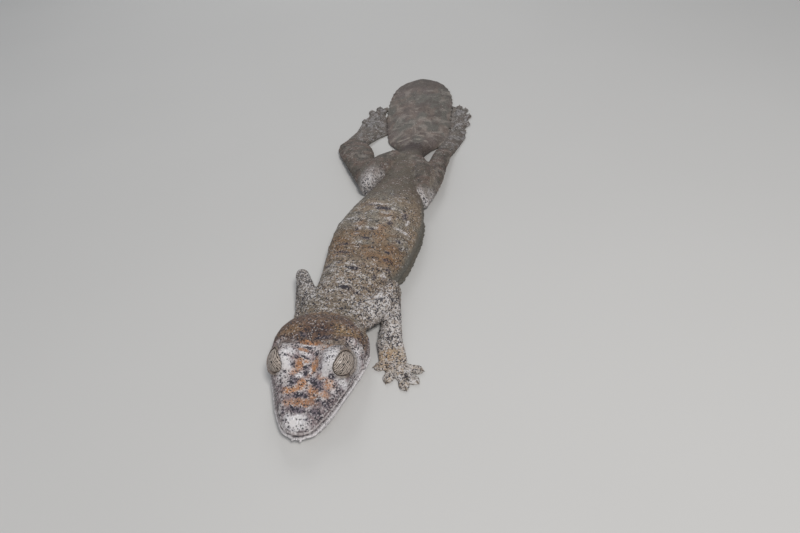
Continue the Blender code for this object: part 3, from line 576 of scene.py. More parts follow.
def flank_fringe(s, d, z, f):
    near = (s > FLANK_SPAN[0] - 3) & (s < FLANK_SPAN[1] + 3) & (z < 4.0)
    sn = s[near]
    taper = step(sn, FLANK_SPAN[0] - 1.5, FLANK_SPAN[0] + 3.0)
    taper = taper * (1 - step(sn, FLANK_SPAN[1] - 3.0, FLANK_SPAN[1] + 1.5))
    row = lobes(sn, LOBE_PITCH, 3) * (d[near] > 0) + lobes(sn, LOBE_PITCH, 9) * (d[near] <= 0)
    reach = on_table(sn, TABLE_SECTION[:, 0]) - 1.4 + taper * (1.1 + FLANK_REACH * row)
    outside = np.maximum(np.abs(d[near]) - reach, 0.0)
    strip = np.hypot(np.maximum(np.abs(z[near] - FLANK_HEIGHT) - 0.22, 0.0), outside) - 0.2
    f[near] = smooth_min(f[near], strip, 0.7)
    return f


# Limbs and feet

def sampled(stations, count):
    rows = np.array([(i, *row) for i, row in enumerate(stations)], dtype=float)
    return curve(rows, np.linspace(0, len(stations) - 1, count))


def polygon_distance(p, corners):
    """Signed distance in the floor plane to a closed polygon."""
    count = len(corners)
    distance = np.full(len(p), 1e9)
    inside = np.zeros(len(p), dtype=bool)
    for k in range(count):
        a = corners[k]
        b = corners[(k + 1) % count]
        edge = b - a
        w = p - a
        t = np.clip(w @ edge / (edge @ edge), 0.0, 1.0)
        distance = np.minimum(distance, np.linalg.norm(w - t[:, None] * edge, axis=1))
        crosses = (a[1] > p[:, 1]) != (b[1] > p[:, 1])
        height = b[1] - a[1] if b[1] != a[1] else 1e-9
        inside ^= crosses & (p[:, 0] < (b[0] - a[0]) * (p[:, 1] - a[1]) / height + a[0])
    return np.where(inside, -distance, distance)


def toe_path(palm, tip):
    start = np.array(palm)
    end = np.array(tip)
    length = np.linalg.norm(end - start)
    rows = (
        (TOE_START, TOE_HALF_WIDTH * 1.25, TOE_TOP * 1.02),
        (0.5, TOE_HALF_WIDTH, TOE_TOP),
        (1.0 - PAD_LENGTH / length, TOE_HALF_WIDTH, TOE_TOP * 0.92),
        (1.0 - 1.7 / length, PAD_HALF_WIDTH, PAD_TOP * 1.1),
        (1.0 - 0.75 / length, PAD_HALF_WIDTH * 0.95, PAD_TOP * 0.95),
        (1.0 - 0.2 / length, PAD_HALF_WIDTH * 0.55, PAD_TOP * 0.75),
    )
    path = []
    for t, wide, top in rows:
        here = start + (end - start) * t
        path.append([here[0], here[1], top * 0.35, wide, top * 0.65])
    return np.array(path)


def foot_field(p, name):
    ankle, ankle_width, palm, wide, tall, web_reach, tips = FEET[name]
    ankle_row = (*ankle, ANKLE_HEIGHT, ankle_width, ANKLE_HEIGHT)
    rows = np.array([ankle_row, (*palm, tall * 0.8, wide, tall)])
    f = tube(p, rows)[0]
    centre = np.array(palm)
    ahead = (centre - np.array(ankle)) / np.linalg.norm(centre - np.array(ankle))
    aside = np.array([ahead[1], -ahead[0]]) * ankle_width * (1 if tips[0][0] < tips[-1][0] else -1)
    first, last = WEB_EDGES.get(name, ((), ()))
    rim = [np.array(ankle) + 0.8 * aside, np.array(ankle) - 0.8 * aside]
    rim.extend(np.array(corner) for corner in first)
    for k, tip in enumerate(tips):
        rim.append(centre + (np.array(tip) - centre) * web_reach)
        if k + 1 < len(tips):
            between = (np.array(tip) + np.array(tips[k + 1])) / 2
            rim.append(centre + (between - centre) * web_reach * WEB_HOLLOW)
    rim.extend(np.array(corner) for corner in last)
    flat = polygon_distance(p[:, :2], rim) - 0.15
    web = smooth_max(flat, np.abs(p[:, 2] - WEB_TOP / 2) - WEB_TOP / 2, 0.3)
    f = smooth_min(f, web, 0.7)
    for tip in tips:
        path = toe_path(palm, tip)
        here = box_mask(p, path[:, :3], 2.2)
        toe, (u, _, _, length) = tube(p[here], path)
        size = np.linalg.norm(np.array(tip) - centre)
        pad = step(length, size - PAD_LENGTH - TOE_START * size - 0.4, size - 1.8 - TOE_START * size)
        toe = toe + 0.07 * (1 - pad) * np.abs(np.sin(math.pi * length / 0.8)) ** 3
        f[here] = smooth_min(f[here], toe, 0.45)
    return f


def lower_tube(name):
    """One smooth tube from the elbow or knee over the ankle to the palm."""
    ankle, ankle_width, palm, wide, tall, _, _ = FEET[name]
    ends = ((*ankle, ANKLE_HEIGHT, ankle_width, ANKLE_HEIGHT), (*palm, tall * 0.8, wide, tall))
    return sampled(LIMBS[name][1] + ends, 15)


def limb_field(p, name, beside):
    """One limb with its foot, and how softly it joins the body at each point."""
    upper, lower, outer = LIMBS[name]
    upper_path = sampled(upper, 7)
    lower_path = lower_tube(name)
    f, _ = tube(p, upper_path)
    lower_f, (u, w, wide, length) = tube(p, lower_path)
    span = np.sum(np.linalg.norm(np.diff(lower_path[:, :3], axis=0), axis=1))
    taper = step(length, 0.04 * span, 0.2 * span) * (1 - step(length, 0.78 * span, 0.94 * span))
    row = lobes(length, LOBE_PITCH, int(abs(upper[0][1])) + outer)
    reach = wide * 0.92 + taper * LIMB_FRINGE_REACH * row
    outside = np.maximum(u * outer - reach, 0.0)
    strip = np.hypot(np.maximum(np.abs(w + 0.2) - 0.2, 0.0), outside) - 0.2
    strip = np.where(u * outer > 0, strip, 5.0) + 2.0 * (1 - step(taper, 0.0, 0.15))
    lower_f = smooth_min(lower_f, strip, 0.5)
    f = smooth_min(f, lower_f, KNEE_SOFTNESS[name[:3]])
    foot = foot_field(p, name)
    if name.startswith("leg"):
        foot = np.maximum(foot, -beside)
    f = smooth_min(f, foot, ANKLE_SOFTNESS[name[:3]])
    attach = np.linalg.norm(p - np.array(upper[0][:3]), axis=1)
    softness = 0.2 + 1.5 * (1 - step(attach, 3.0, 10.5))
    return f, softness


def limb_window(name):
    upper, lower, _ = LIMBS[name]
    points = [row[:3] for row in upper + lower] + [(*tip, 1.0) for tip in FEET[name][-1]]
    return np.array(points)


def skin_field(p):
    """Signed distance, nearly, from the surface of the whole skin."""
    s, d = to_spine(p)
    z = p[:, 2]
    raised = z
    head = s < 3.0
    if np.any(head):
        widest = on_table(s[head], TABLE_SECTION[:, 2])
        lift = face_relief(s[head], d[head]) * step(z[head] - widest, 0.3, 3.0)
        raised = z.copy()
        raised[head] -= lift
    f = trunk(s, d, raised)
    beside = np.abs(d) - on_table(s, TABLE_SECTION[:, 0])
    along = step(s, 16.0, 24.0) * (1 - step(s, 60.0, 68.0)) * step(np.abs(d), 5.0, 8.0)
    f = f + along * (FOLD_GROOVE * hump(z, 6.7, 0.45) - FOLD_SWELL * hump(z, 4.9, 1.2))
    f = flank_fringe(s, d, z, f)
    for name in LIMBS:
        near = box_mask(p, limb_window(name), LIMB_MARGIN)
        if np.any(near):
            part, softness = limb_field(p[near], name, beside[near])
            f[near] = smooth_min(f[near], part, softness)
    f = head_forms(p, s, d, z, f)
    return smooth_max(f, -z, 0.25)


# From the field to a mesh

def surface_net(low, cell, values):
    """Vertices and quads of the surface where a grid of values changes sign."""
    inside = values < 0
    shape = np.array(values.shape) - 1
    corners = [(i, j, k) for i in (0, 1) for j in (0, 1) for k in (0, 1)]
    count = np.zeros(shape, dtype=np.int8)
    for i, j, k in corners:
        count += inside[i:i + shape[0], j:j + shape[1], k:k + shape[2]]
    active = (count > 0) & (count < 8)
    index = np.full(shape, -1, dtype=np.int64)
    cells = np.argwhere(active)
    index[active] = np.arange(len(cells))
    total = np.zeros((len(cells), 3))
    crossings = np.zeros(len(cells))
    for a in corners:
        for axis in range(3):
            if a[axis]:
                continue
            b = list(a)
            b[axis] = 1
            va = values[tuple((cells + a).T)]
            vb = values[tuple((cells + b).T)]
            cross = (va < 0) != (vb < 0)
            t = np.where(cross, va / np.where(va == vb, 1.0, va - vb), 0.0)
            place = np.array(a) + t[:, None] * (np.array(b) - np.array(a))
            total += place * cross[:, None]
            crossings += cross
    vertices = (cells + total / crossings[:, None]) * cell + np.array(low)
    quads = []
    for axis in range(3):
        first = [slice(None)] * 3
        second = [slice(None)] * 3
        first[axis] = slice(0, -1)
        second[axis] = slice(1, None)
        a = inside[tuple(first)]
        b = inside[tuple(second)]
        places = np.argwhere(a != b)
        one, two = [k for k in range(3) if k != axis]
        keep = (places[:, one] > 0) & (places[:, two] > 0)
        keep &= (places[:, one] < shape[one]) & (places[:, two] < shape[two])
        places = places[keep]
        leaving = a[tuple(places.T)]
        around = []
        for step_one, step_two in ((0, 0), (-1, 0), (-1, -1), (0, -1)):
            cell_at = places.copy()
            cell_at[:, one] += step_one
            cell_at[:, two] += step_two
            around.append(index[tuple(cell_at.T)])
        quad = np.stack(around, axis=1)
        flip = leaving if axis == 1 else ~leaving
        quad[flip] = quad[flip][:, ::-1]
        quads.append(quad)
    return vertices, np.concatenate(quads)


def slope_of(p, reach):
    """Gradient of the field by differences to the corners of a small tetrahedron."""
    total = np.zeros_like(p)
    for corner in ((1, -1, -1), (-1, -1, 1), (-1, 1, -1), (1, 1, 1)):
        corner = np.array(corner, dtype=float)
        total += skin_field(p + corner * reach)[:, None] * corner
    return total / (4 * reach)


def settle(p, rounds):
    """Moves points onto the surface."""
    for _ in range(rounds):
        slope = slope_of(p, SLOPE_REACH)
        size = np.maximum(np.sum(slope * slope, axis=1), 0.04)
        move = -skin_field(p)[:, None] * slope / size[:, None]
        length = np.linalg.norm(move, axis=1)
        move *= np.minimum(1.0, 0.3 / np.maximum(length, 1e-9))[:, None]
        p = p + move
    return p, slope / np.maximum(np.linalg.norm(slope, axis=1), 1e-9)[:, None]


def relax(p, edges, normals, rounds):
    """Evens out the spacing of points along the surface."""
    count = np.bincount(edges.ravel(), minlength=len(p)).astype(float)
    for _ in range(rounds):
        mean = np.zeros_like(p)
        for axis in range(3):
            mean[:, axis] = np.bincount(edges[:, 0], p[edges[:, 1], axis], len(p))
            mean[:, axis] += np.bincount(edges[:, 1], p[edges[:, 0], axis], len(p))
        move = mean / np.maximum(count, 1.0)[:, None] - p
        move -= np.sum(move * normals, axis=1)[:, None] * normals
        p = p + 0.5 * move
    return p


def mesh_arrays(mesh):
    vertices = np.empty(len(mesh.vertices) * 3)
    mesh.vertices.foreach_get("co", vertices)
    edges = np.empty(len(mesh.edges) * 2, dtype=np.int64)
    mesh.edges.foreach_get("vertices", edges)
    return vertices.reshape(-1, 3), edges.reshape(-1, 2)


def drop_crumbs(bm):
    """Keeps the largest connected surface."""
    unseen = set(bm.verts)
    islands = []
    while unseen:
        first = unseen.pop()
        stack = [first]
        island = [first]
        while stack:
            for edge in stack.pop().link_edges:
                for v in edge.verts:
                    if v in unseen:
                        unseen.remove(v)
                        island.append(v)
                        stack.append(v)
        islands.append(island)
    islands.sort(key=len)
    for island in islands[:-1]:
        bmesh.ops.delete(bm, geom=island, context="VERTS")


def in_head(edge):
    """Whether an edge lies where the mesh is made finer."""
    one, two = (vertex.co for vertex in edge.verts)
    return (one.y + two.y) / 2 < FINE_END and abs(one.x - FINE_MIDDLE) < FINE_HALF_WIDTH


def skin_mesh():
    low = np.array(GRID_LOW)
    count = np.ceil((np.array(GRID_HIGH) - low) / CELL).astype(int) + 1
    axes = [low[k] + CELL * np.arange(count[k]) for k in range(3)]
    values = np.empty(count)
    for start in range(0, count[1], SLAB):
        grid = np.meshgrid(axes[0], axes[1][start:start + SLAB], axes[2], indexing="ij")
        points = np.stack([g.ravel() for g in grid], axis=1)
        values[:, start:start + SLAB, :] = skin_field(points).reshape(grid[0].shape)
    vertices, quads = surface_net(low, CELL, values)
    mesh = bpy.data.meshes.new("skin")
    mesh.from_pydata(vertices, [], quads)
    bm = bmesh.new()
    bm.from_mesh(mesh)
    drop_crumbs(bm)
    bm.to_mesh(mesh)
    p, edges = mesh_arrays(mesh)
    p, normals = settle(p, 1)
    p = relax(p, edges, normals, 3)
    mesh.vertices.foreach_set("co", p.ravel())
    mesh.update()
    bm.clear()
    bm.from_mesh(mesh)
    fine = [edge for edge in bm.edges if in_head(edge)]
    bmesh.ops.subdivide_edges(bm, edges=fine, cuts=1, use_grid_fill=True)
    bm.to_mesh(mesh)
    bm.free()
    p, edges = mesh_arrays(mesh)
    p, normals = settle(p, 1)
    p = relax(p, edges, normals, 2)
    p, normals = settle(p, 2)
    return mesh, p, normals


# Fine relief and colours of the skin

def knee_share(p):
    """How far each point belongs to the pale tubercles of the knees."""
    share = np.zeros(len(p))
    for x, y, reach, strength in KNEES:
        away = ((p[:, 0] - x) ** 2 + (p[:, 1] - y) ** 2) / reach ** 2
        share = np.maximum(share, strength * np.exp(-away ** 1.5))
    return share


def fine_relief(p, s, d, z):
    """Height of small folds and tubercles above the smooth surface."""
    head = 1 - step(s, -1.0, 5.0)
    tail = step(s, 88.0, 96.0)
    height = 0.10 * (lumps(p, 2.2, 31) - 0.5)
    folds = np.sin(2 * math.pi * (s / 1.9 + 0.7 * lumps(p, 5.0, 41)))
    height += 0.045 * folds * (1 - head) * (1 - tail) * (0.4 + 1.2 * noise(p, 6.0, 43))
    neck_folds = hump(s, 4.5, 4.0)
    height += 0.12 * neck_folds * np.sin(2 * math.pi * (s / 2.3 + 0.5 * lumps(p, 6.0, 44)))
    tail_folds = hump(s, 100.0, 9.0)
    height += 0.06 * tail_folds * np.sin(2 * math.pi * (s / 2.4 + 1.6 * lumps(p, 6.0, 45)))
    height += 0.10 * head * (lumps(p, 0.9, 51, 2) - 0.5)
    knobs = noise(p, 1.1, 61)
    height += 0.22 * step(knobs, 0.72, 0.95) * (1 - 0.6 * tail) * (1 - 0.4 * head)
    height += 0.40 * step(noise(p, 0.8, 63), 0.5, 0.8) * knee_share(p)
    return height


def patch(s, d, at_s, at_d, size_s, size_d, warp, soft=0.45):
    """A soft-edged oval marking whose outline is broken up by noise."""
    r = np.sqrt(((s - at_s) / size_s) ** 2 + ((d - at_d) / size_d) ** 2) + 0.9 * (warp - 0.5)
    return 1 - step(r, 1 - soft, 1 + soft)


def markings(rows, s, d, warp, soft=0.45):
    """The strength of each marking of a table at every point, one after another."""
    for at_s, at_d, half_s, half_d, amount in rows:
        yield amount * patch(s, d, at_s, at_d, half_s, half_d, warp, soft)


def linear(red, green, blue):
    values = np.array([red, green, blue]) / 255.0
    return np.where(values <= 0.04045, values / 12.92, ((values + 0.055) / 1.055) ** 2.4)


WHITE = linear(228, 227, 231)
PALE = linear(174, 166, 166)
MAUVE = linear(142, 127, 128)
TAN = linear(136, 118, 98)
GREY = linear(124, 118, 108)
OCHRE = linear(116, 92, 66)
BLUSH = linear(176, 140, 114)
CAP = linear(106, 88, 77)
BROW_LINE_AND_SHADE = linear(76, 54, 48)
GOLD = linear(168, 138, 92)
OLIVE = linear(124, 112, 96)
FOLD = linear(96, 94, 87)
INK = linear(104, 100, 112)
LIMB = linear(132, 125, 118)
LEG = linear(93, 87, 80)
RUMP = linear(90, 84, 76)
TAIL_MAUVE = linear(109, 99, 95)
TAIL_GREEN = linear(105, 102, 96)
TAIL_TAN = linear(122, 109, 101)

# Markings of the head: s, d, half length, half width, strength
HEAD_PALE = (
    (-31.3, -0.3, 1.75, 3.14, 1.0), (-18.4, -5.2, 1.6, 1.5, 1.0), (-15.2, -4.7, 1.1, 1.3, 0.8),
    (-18.4, 5.5, 1.8, 2.2, 1.0), (-16.0, 6.0, 1.5, 2.1, 1.0), (-17.8, 7.6, 1.3, 1.3, 0.85),
    (-14.1, -1.7, 0.45, 1.8, 0.75), (-11.9, -1.4, 0.2, 1.8, 0.7), (-19.8, -2.0, 0.5, 0.9, 0.8),
    (-18.3, 0.5, 0.9, 0.4, 0.8), (-13.2, 11.0, 2.6, 0.9, 0.6), (-20.0, 8.5, 0.9, 1.8, 0.6),
    (-15.2, 11.4, 1.6, 0.8, 0.5), (-20.3, -6.8, 0.6, 1.1, 0.5), (-20.3, 9.2, 0.7, 0.9, 0.5),
    (-22.8, 7.2, 0.7, 0.9, 0.4), (-16.9, -6.2, 1.6, 1.2, 0.8), (-13.7, 4.8, 0.6, 1.4, 0.6),
)
HEAD_RUST = (
    (-21.9, -0.8, 1.5, 1.3, 1.0), (-16.9, 1.4, 2.1, 0.95, 0.95), (-17.0, -2.3, 1.4, 0.85, 0.95),
    (-15.8, -1.2, 0.4, 1.3, 0.7), (-24.0, -3.5, 0.95, 1.9, 0.95), (-24.2, 2.6, 1.75, 1.15, 1.0),
    (-26.6, 0.3, 0.95, 3.4, 0.9), (-13.2, -2.4, 0.55, 1.3, 0.8), (-21.7, 5.9, 1.5, 1.2, 0.7),
    (-20.0, 4.2, 0.7, 1.4, 0.7), (-12.4, 3.8, 0.9, 2.0, 0.45), (-11.3, -1.1, 0.45, 2.9, 0.85),
    (-19.4, -4.1, 0.6, 1.7, 0.6), (-24.3, 5.2, 1.0, 1.1, 0.6), (-23.1, -2.1, 0.8, 1.0, 0.7),
    (-19.5, 0.4, 0.85, 0.5, 0.5), (-18.6, -3.0, 0.6, 0.8, 0.6), (-22.8, 1.2, 0.7, 0.8, 0.6),
    (-26.9, -3.6, 0.8, 1.0, 0.5),
)
# Duller stretches of the rusty markings
HEAD_BURNT = ((-24.6, 2.9, 1.7, 1.0, 0.9), (-26.7, 0.6, 0.8, 3.2, 0.8))
HEAD_DUSK = (
    (-28.9, 3.7, 1.0, 1.7, 0.9), (-26.6, 5.2, 0.9, 1.2, 0.6), (-28.5, -0.6, 0.75, 2.5, 0.85),
    (-20.3, 6.5, 0.4, 1.0, 0.5), (-21.3, -2.9, 1.3, 1.5, 0.4), (-21.8, 2.7, 1.5, 1.5, 0.45),
    (-18.4, -0.3, 1.4, 1.0, 0.35), (-24.8, -1.1, 0.8, 2.5, 0.4), (-24.5, 6.6, 0.9, 0.9, 0.35),
    (-29.2, -3.9, 1.2, 0.7, 0.35),
)
HEAD_BLACK = (
    (-21.4, -3.3, 1.0, 1.25, 0.95), (-22.5, -3.9, 0.45, 0.6, 0.8), (-20.7, 1.5, 0.8, 0.8, 1.0),
    (-22.2, 3.1, 1.05, 1.05, 1.0), (-23.4, 4.4, 0.55, 0.65, 0.8), (-17.5, -0.8, 0.5, 0.8, 0.9),
    (-19.1, -0.6, 1.0, 0.6, 0.95), (-24.7, -1.2, 0.62, 2.25, 1.0), (-25.2, 0.7, 0.45, 0.7, 0.8),
    (-28.5, -0.6, 0.65, 2.0, 0.9), (-14.9, -1.5, 0.3, 1.4, 0.95), (-16.0, -3.2, 0.5, 0.5, 0.9),
    (-18.2, -3.8, 0.4, 0.5, 0.85), (-16.7, -5.7, 0.5, 0.6, 0.6), (-12.3, -0.9, 0.25, 1.6, 0.9),
    (-13.7, 1.3, 0.8, 0.5, 0.8), (-9.2, -3.1, 0.8, 1.2, 0.8), (-9.8, 2.6, 0.6, 1.9, 0.8),
    (-18.2, 3.2, 0.65, 0.55, 0.85), (-16.8, 6.2, 0.4, 1.0, 0.75), (-17.1, 5.0, 0.4, 0.5, 0.7),
    (-20.2, 6.5, 0.4, 1.0, 0.8), (-28.9, 3.7, 0.8, 1.4, 0.7), (-26.3, 5.6, 0.65, 0.85, 0.7),
    (-26.1, 4.0, 0.5, 0.8, 0.75), (-30.7, 2.2, 0.5, 0.5, 0.8), (-30.6, 0.6, 0.3, 0.35, 0.6),
    (-31.7, -2.3, 0.35, 0.4, 0.5), (-28.9, -4.2, 0.5, 0.5, 0.7), (-23.9, -5.0, 0.3, 0.6, 0.6),
    (-21.4, 8.5, 0.5, 0.5, 0.6), (-19.8, -5.4, 0.3, 0.6, 0.6), (-7.5, 3.7, 0.5, 1.3, 0.35),
    (-14.5, 10.8, 0.6, 0.4, 0.5),
)
# Soft areas of one tone on the head: s, d, half length, half width, strength, colour
HEAD_AREAS = (
    (-11.1, 5.8, 1.5, 4.2, 0.85, linear(126, 113, 98)),
    (-10.9, -7.2, 1.3, 3.2, 0.85, linear(112, 99, 92)),
    (-7.6, -6.8, 1.8, 3.0, 0.7, linear(138, 112, 84)),
    (-7.0, 7.0, 1.8, 3.4, 0.8, linear(146, 122, 90)),
    (-7.2, 0.8, 2.0, 3.6, 0.85, linear(80, 63, 57)),
    (0.2, -1.0, 1.3, 6.0, 0.7, linear(142, 121, 98)),
    (-3.4, 8.4, 2.8, 2.2, 0.7, linear(112, 94, 86)),
    (-3.8, 1.5, 1.2, 4.0, 0.4, linear(128, 106, 86)),
)
# Front edge of the brown cap: d, s
CAP_EDGE = (
    (-13.0, -12.5), (-11.5, -10.4), (-10.0, -9.7), (-8.3, -9.5), (-6.6, -9.7), (-4.8, -10.5), (-3.4, -11.3),
    (-1.3, -11.6), (0.3, -11.4), (1.8, -11.2), (3.7, -10.4), (5.4, -9.9), (7.4, -9.2), (9.0, -8.7),
    (10.4, -8.3), (12.0, -9.5), (13.0, -11.5),
)

# Markings of the back: s, d, half length, half width, strength
BACK_PALE = (
    (19.4, -0.3, 0.45, 2.6, 0.8), (16.9, 1.4, 0.4, 2.2, 0.6), (12.3, 0.1, 0.45, 2.5, 0.8),
    (48.4, -2.4, 0.7, 3.3, 0.8), (43.9, 2.2, 0.6, 2.1, 0.8), (41.3, 4.0, 0.7, 1.2, 0.9),
    (42.4, 10.0, 1.6, 0.5, 1.0), (45.7, 7.1, 0.6, 0.8, 0.7), (37.6, 10.4, 0.5, 1.5, 1.0),
    (40.5, -8.4, 0.6, 1.6, 1.0), (36.1, -4.9, 0.5, 1.2, 0.8), (32.5, -3.6, 0.5, 1.0, 0.7),
    (35.0, -3.2, 1.2, 0.5, 0.7), (35.8, -0.8, 0.5, 0.9, 0.8), (35.9, 1.8, 0.6, 0.6, 0.8),
    (19.7, 9.0, 0.8, 0.9, 0.9), (12.2, 11.3, 1.1, 1.3, 0.8), (37.9, 7.9, 0.5, 1.1, 0.8),
    (7.3, 11.8, 1.0, 0.9, 0.7), (8.7, 4.5, 0.4, 1.9, 0.5), (16.5, -4.6, 0.7, 1.4, 0.6),
    (22.1, -5.4, 0.5, 2.6, 0.5), (9.1, -2.5, 0.9, 1.5, 0.6), (10.7, 7.3, 0.6, 1.1, 0.5),
    (12.6, -5.0, 1.6, 1.4, 0.6),
)
BACK_RUST = (
    (37.4, -4.0, 1.7, 2.0, 0.8), (36.3, 3.3, 1.5, 1.4, 0.9), (23.0, 6.5, 2.9, 2.0, 0.6),
    (25.3, 2.3, 1.9, 1.7, 0.5), (7.7, 7.5, 1.2, 1.3, 1.0), (29.9, 8.5, 2.7, 1.1, 0.7),
    (26.4, 10.7, 2.4, 0.8, 0.6), (45.1, 7.9, 1.4, 1.0, 0.4), (42.8, 2.9, 1.0, 2.4, 0.4),
    (10.8, 9.5, 1.4, 1.2, 0.4),
)
BACK_BLACK = (
    (18.2, 0.5, 0.6, 2.0, 1.0), (11.1, 1.6, 0.65, 2.4, 1.0), (10.5, 5.2, 0.45, 1.6, 0.6),
    (46.1, 0.4, 0.8, 2.8, 1.0), (47.7, -3.9, 0.6, 2.1, 0.6), (39.3, 5.0, 1.0, 1.0, 0.7),
    (44.4, 8.5, 1.7, 0.8, 0.7), (34.2, -4.1, 0.8, 0.7, 0.7), (35.2, 0.7, 0.5, 0.9, 0.7),
    (30.8, 0.1, 0.5, 1.7, 0.9), (27.4, -6.1, 0.45, 2.1, 0.9), (23.8, -5.8, 0.45, 2.8, 0.8),
    (33.2, 9.6, 0.55, 1.1, 0.8), (27.6, 7.7, 0.45, 0.9, 0.9), (24.8, 8.3, 0.55, 1.2, 0.8),
    (22.4, 9.6, 0.5, 0.8, 0.7), (17.6, 7.2, 1.0, 0.5, 0.8), (19.0, 9.6, 0.7, 0.6, 0.5),
    (3.7, 3.8, 0.6, 0.9, 0.9), (10.7, 11.9, 0.8, 0.9, 0.8), (20.5, 2.8, 0.5, 1.1, 0.5),
    (54.4, 2.2, 0.8, 1.8, 0.6), (5.5, 13.1, 0.6, 0.6, 0.6), (38.1, -6.9, 0.5, 1.5, 0.5),
    (19.7, -5.0, 0.5, 1.7, 0.5), (13.1, 6.7, 0.35, 1.7, 0.6), (18.3, -8.4, 0.7, 1.7, 0.6),
    (15.2, 7.6, 0.35, 1.3, 0.6), (31.2, 10.6, 0.45, 0.7, 0.6),
)


def mixed(colour, other, amount):
    amount = np.clip(amount, 0.0, 1.0)[:, None]
    return colour * (1 - amount) + other * amount


def paint_trunk(p, s, d, z, on_limb):
    """Back and flanks: grey and tan with wavy rows of black scales edged in white."""
    broad = lumps(p, 6.0, 73)
    middle = lumps(p, 2.2, 75)
    small = lumps(p, 0.9, 76, 2)
    rear = step(s, 50.0, 66.0)
    back = (1 - on_limb) * step(z, 3.6, 6.0)
    colour = mixed(GREY, TAN, 0.85 * step(broad, 0.36, 0.6))
    colour = mixed(colour, linear(146, 138, 126), 0.6 * step(middle, 0.55, 0.72))
    ochre = np.exp(-((s - 28.5) / 7.5) ** 4) * step(lumps(p, 4.0, 77, 2, (1.5, 0.9, 1.0)), 0.22, 0.46)
    colour = mixed(colour, OCHRE, 0.75 * ochre * back)
    across = lumps(p, 1.9, 79, 3, (1.6, 0.6, 1.0))
    rows = np.sin(2 * math.pi * (s / 4.6 + 0.9 * (lumps(p, 8.0, 80, 2) - 0.5) - 0.004 * d * d))
    band = step(rows, 0.2, 0.85) * step(across, 0.50, 0.62)
    edge = step(rows, -0.6, 0.1) * step(across, 0.44, 0.56) * (1 - band)
    light = step(-rows, 0.1, 0.8)
    colour = mixed(colour, linear(146, 135, 120), 0.3 * light * back)
    front = 1 - step(s, 20.0, 32.0)
    black = 0.25 + 0.04 * front + 0.12 * (step(small, 0.4, 0.6) - 0.5) + 0.24 * band * back
    pale = 0.18 + 0.05 * front + 0.16 * step(middle, 0.48, 0.66) + 0.22 * edge * back - 0.08 * ochre
    rust = 0.16 * ochre * back + 0.12 * step(broad, 0.5, 0.65)
    for marking in markings(BACK_RUST, s, d, middle, 0.7):
        colour = mixed(colour, linear(140, 110, 84), 0.6 * marking)
        rust = np.maximum(rust, 0.24 * marking)
    for marking in markings(BACK_PALE, s, d, small):
        colour = mixed(colour, linear(180, 176, 178), 0.35 * marking)
        pale = np.maximum(pale, 0.70 * marking)
        black = black * (1 - 0.2 * marking)
    for marking in markings(BACK_BLACK, s, d, small):
        colour = mixed(colour, INK, 0.6 * marking)
        black = np.maximum(black, 0.90 * marking)
        pale = pale * (1 - 0.3 * marking)
    neck = hump(s, 3.0, 4.0)
    colour = mixed(colour, linear(112, 103, 90), 0.7 * neck)
    shoulders = hump(s, 9.0, 8.0) * (1 - 0.5 * neck)
    colour = mixed(colour, linear(128, 120, 110), 0.5 * shoulders)
    pale = pale + 0.12 * shoulders
    black = black + 0.08 * shoulders
    fold = (1 - step(z, 5.2, 6.8)) * (1 - on_limb) * step(s, 10.0, 22.0)
    colour = mixed(colour, FOLD, 0.85 * fold)
    rump = step(s, 46.0, 62.0) * (1 - on_limb)
    colour = mixed(colour, RUMP, 0.85 * rump)
    colour = mixed(colour, linear(112, 98, 90), 0.5 * rump * step(middle, 0.5, 0.64))
    colour = mixed(colour, linear(88, 80, 75), 0.7 * rump * hump(s, 91.0, 5.0))
    arm = on_limb * (1 - rear)
    leg = on_limb * rear
    colour = mixed(colour, mixed(LIMB, TAN, 0.6 * step(broad, 0.4, 0.6)), arm)
    soft = mixed(LEG, linear(112, 97, 89), 0.8 * step(middle, 0.42, 0.58))
    soft = mixed(soft, linear(74, 67, 64), 0.6 * step(lumps(p, 1.8, 91), 0.56, 0.7))
    soft = mixed(soft, linear(136, 129, 122), 0.6 * step(lumps(p, 2.0, 92), 0.56, 0.7))
    colour = mixed(colour, soft, leg)
    forearm = arm * step(p[:, 0], 8.0, 12.0) * (1 - step(p[:, 1], 9.0, 15.0))
    colour = mixed(colour, linear(168, 161, 155), 0.65 * forearm)
    calm = (1 - 0.75 * fold) * (1 - 0.66 * rump) * (1 - 0.5 * leg)
    black = (black + 0.08 * arm) * calm
    pale = (pale + 0.12 * arm + 0.10 * forearm) * (0.3 + 0.7 * calm)
    rust = rust * calm
    grain = 0.35 + 0.65 * calm
    knee = knee_share(p) * step(leg, 0.0, 0.2)
    colour = mixed(colour, linear(176, 170, 168), 0.85 * knee)
    black = np.maximum(black, 0.42 * knee)
    pale = np.maximum(pale, 0.66 * knee)
    grain = np.maximum(grain, knee)
    return colour, black, pale, rust, grain


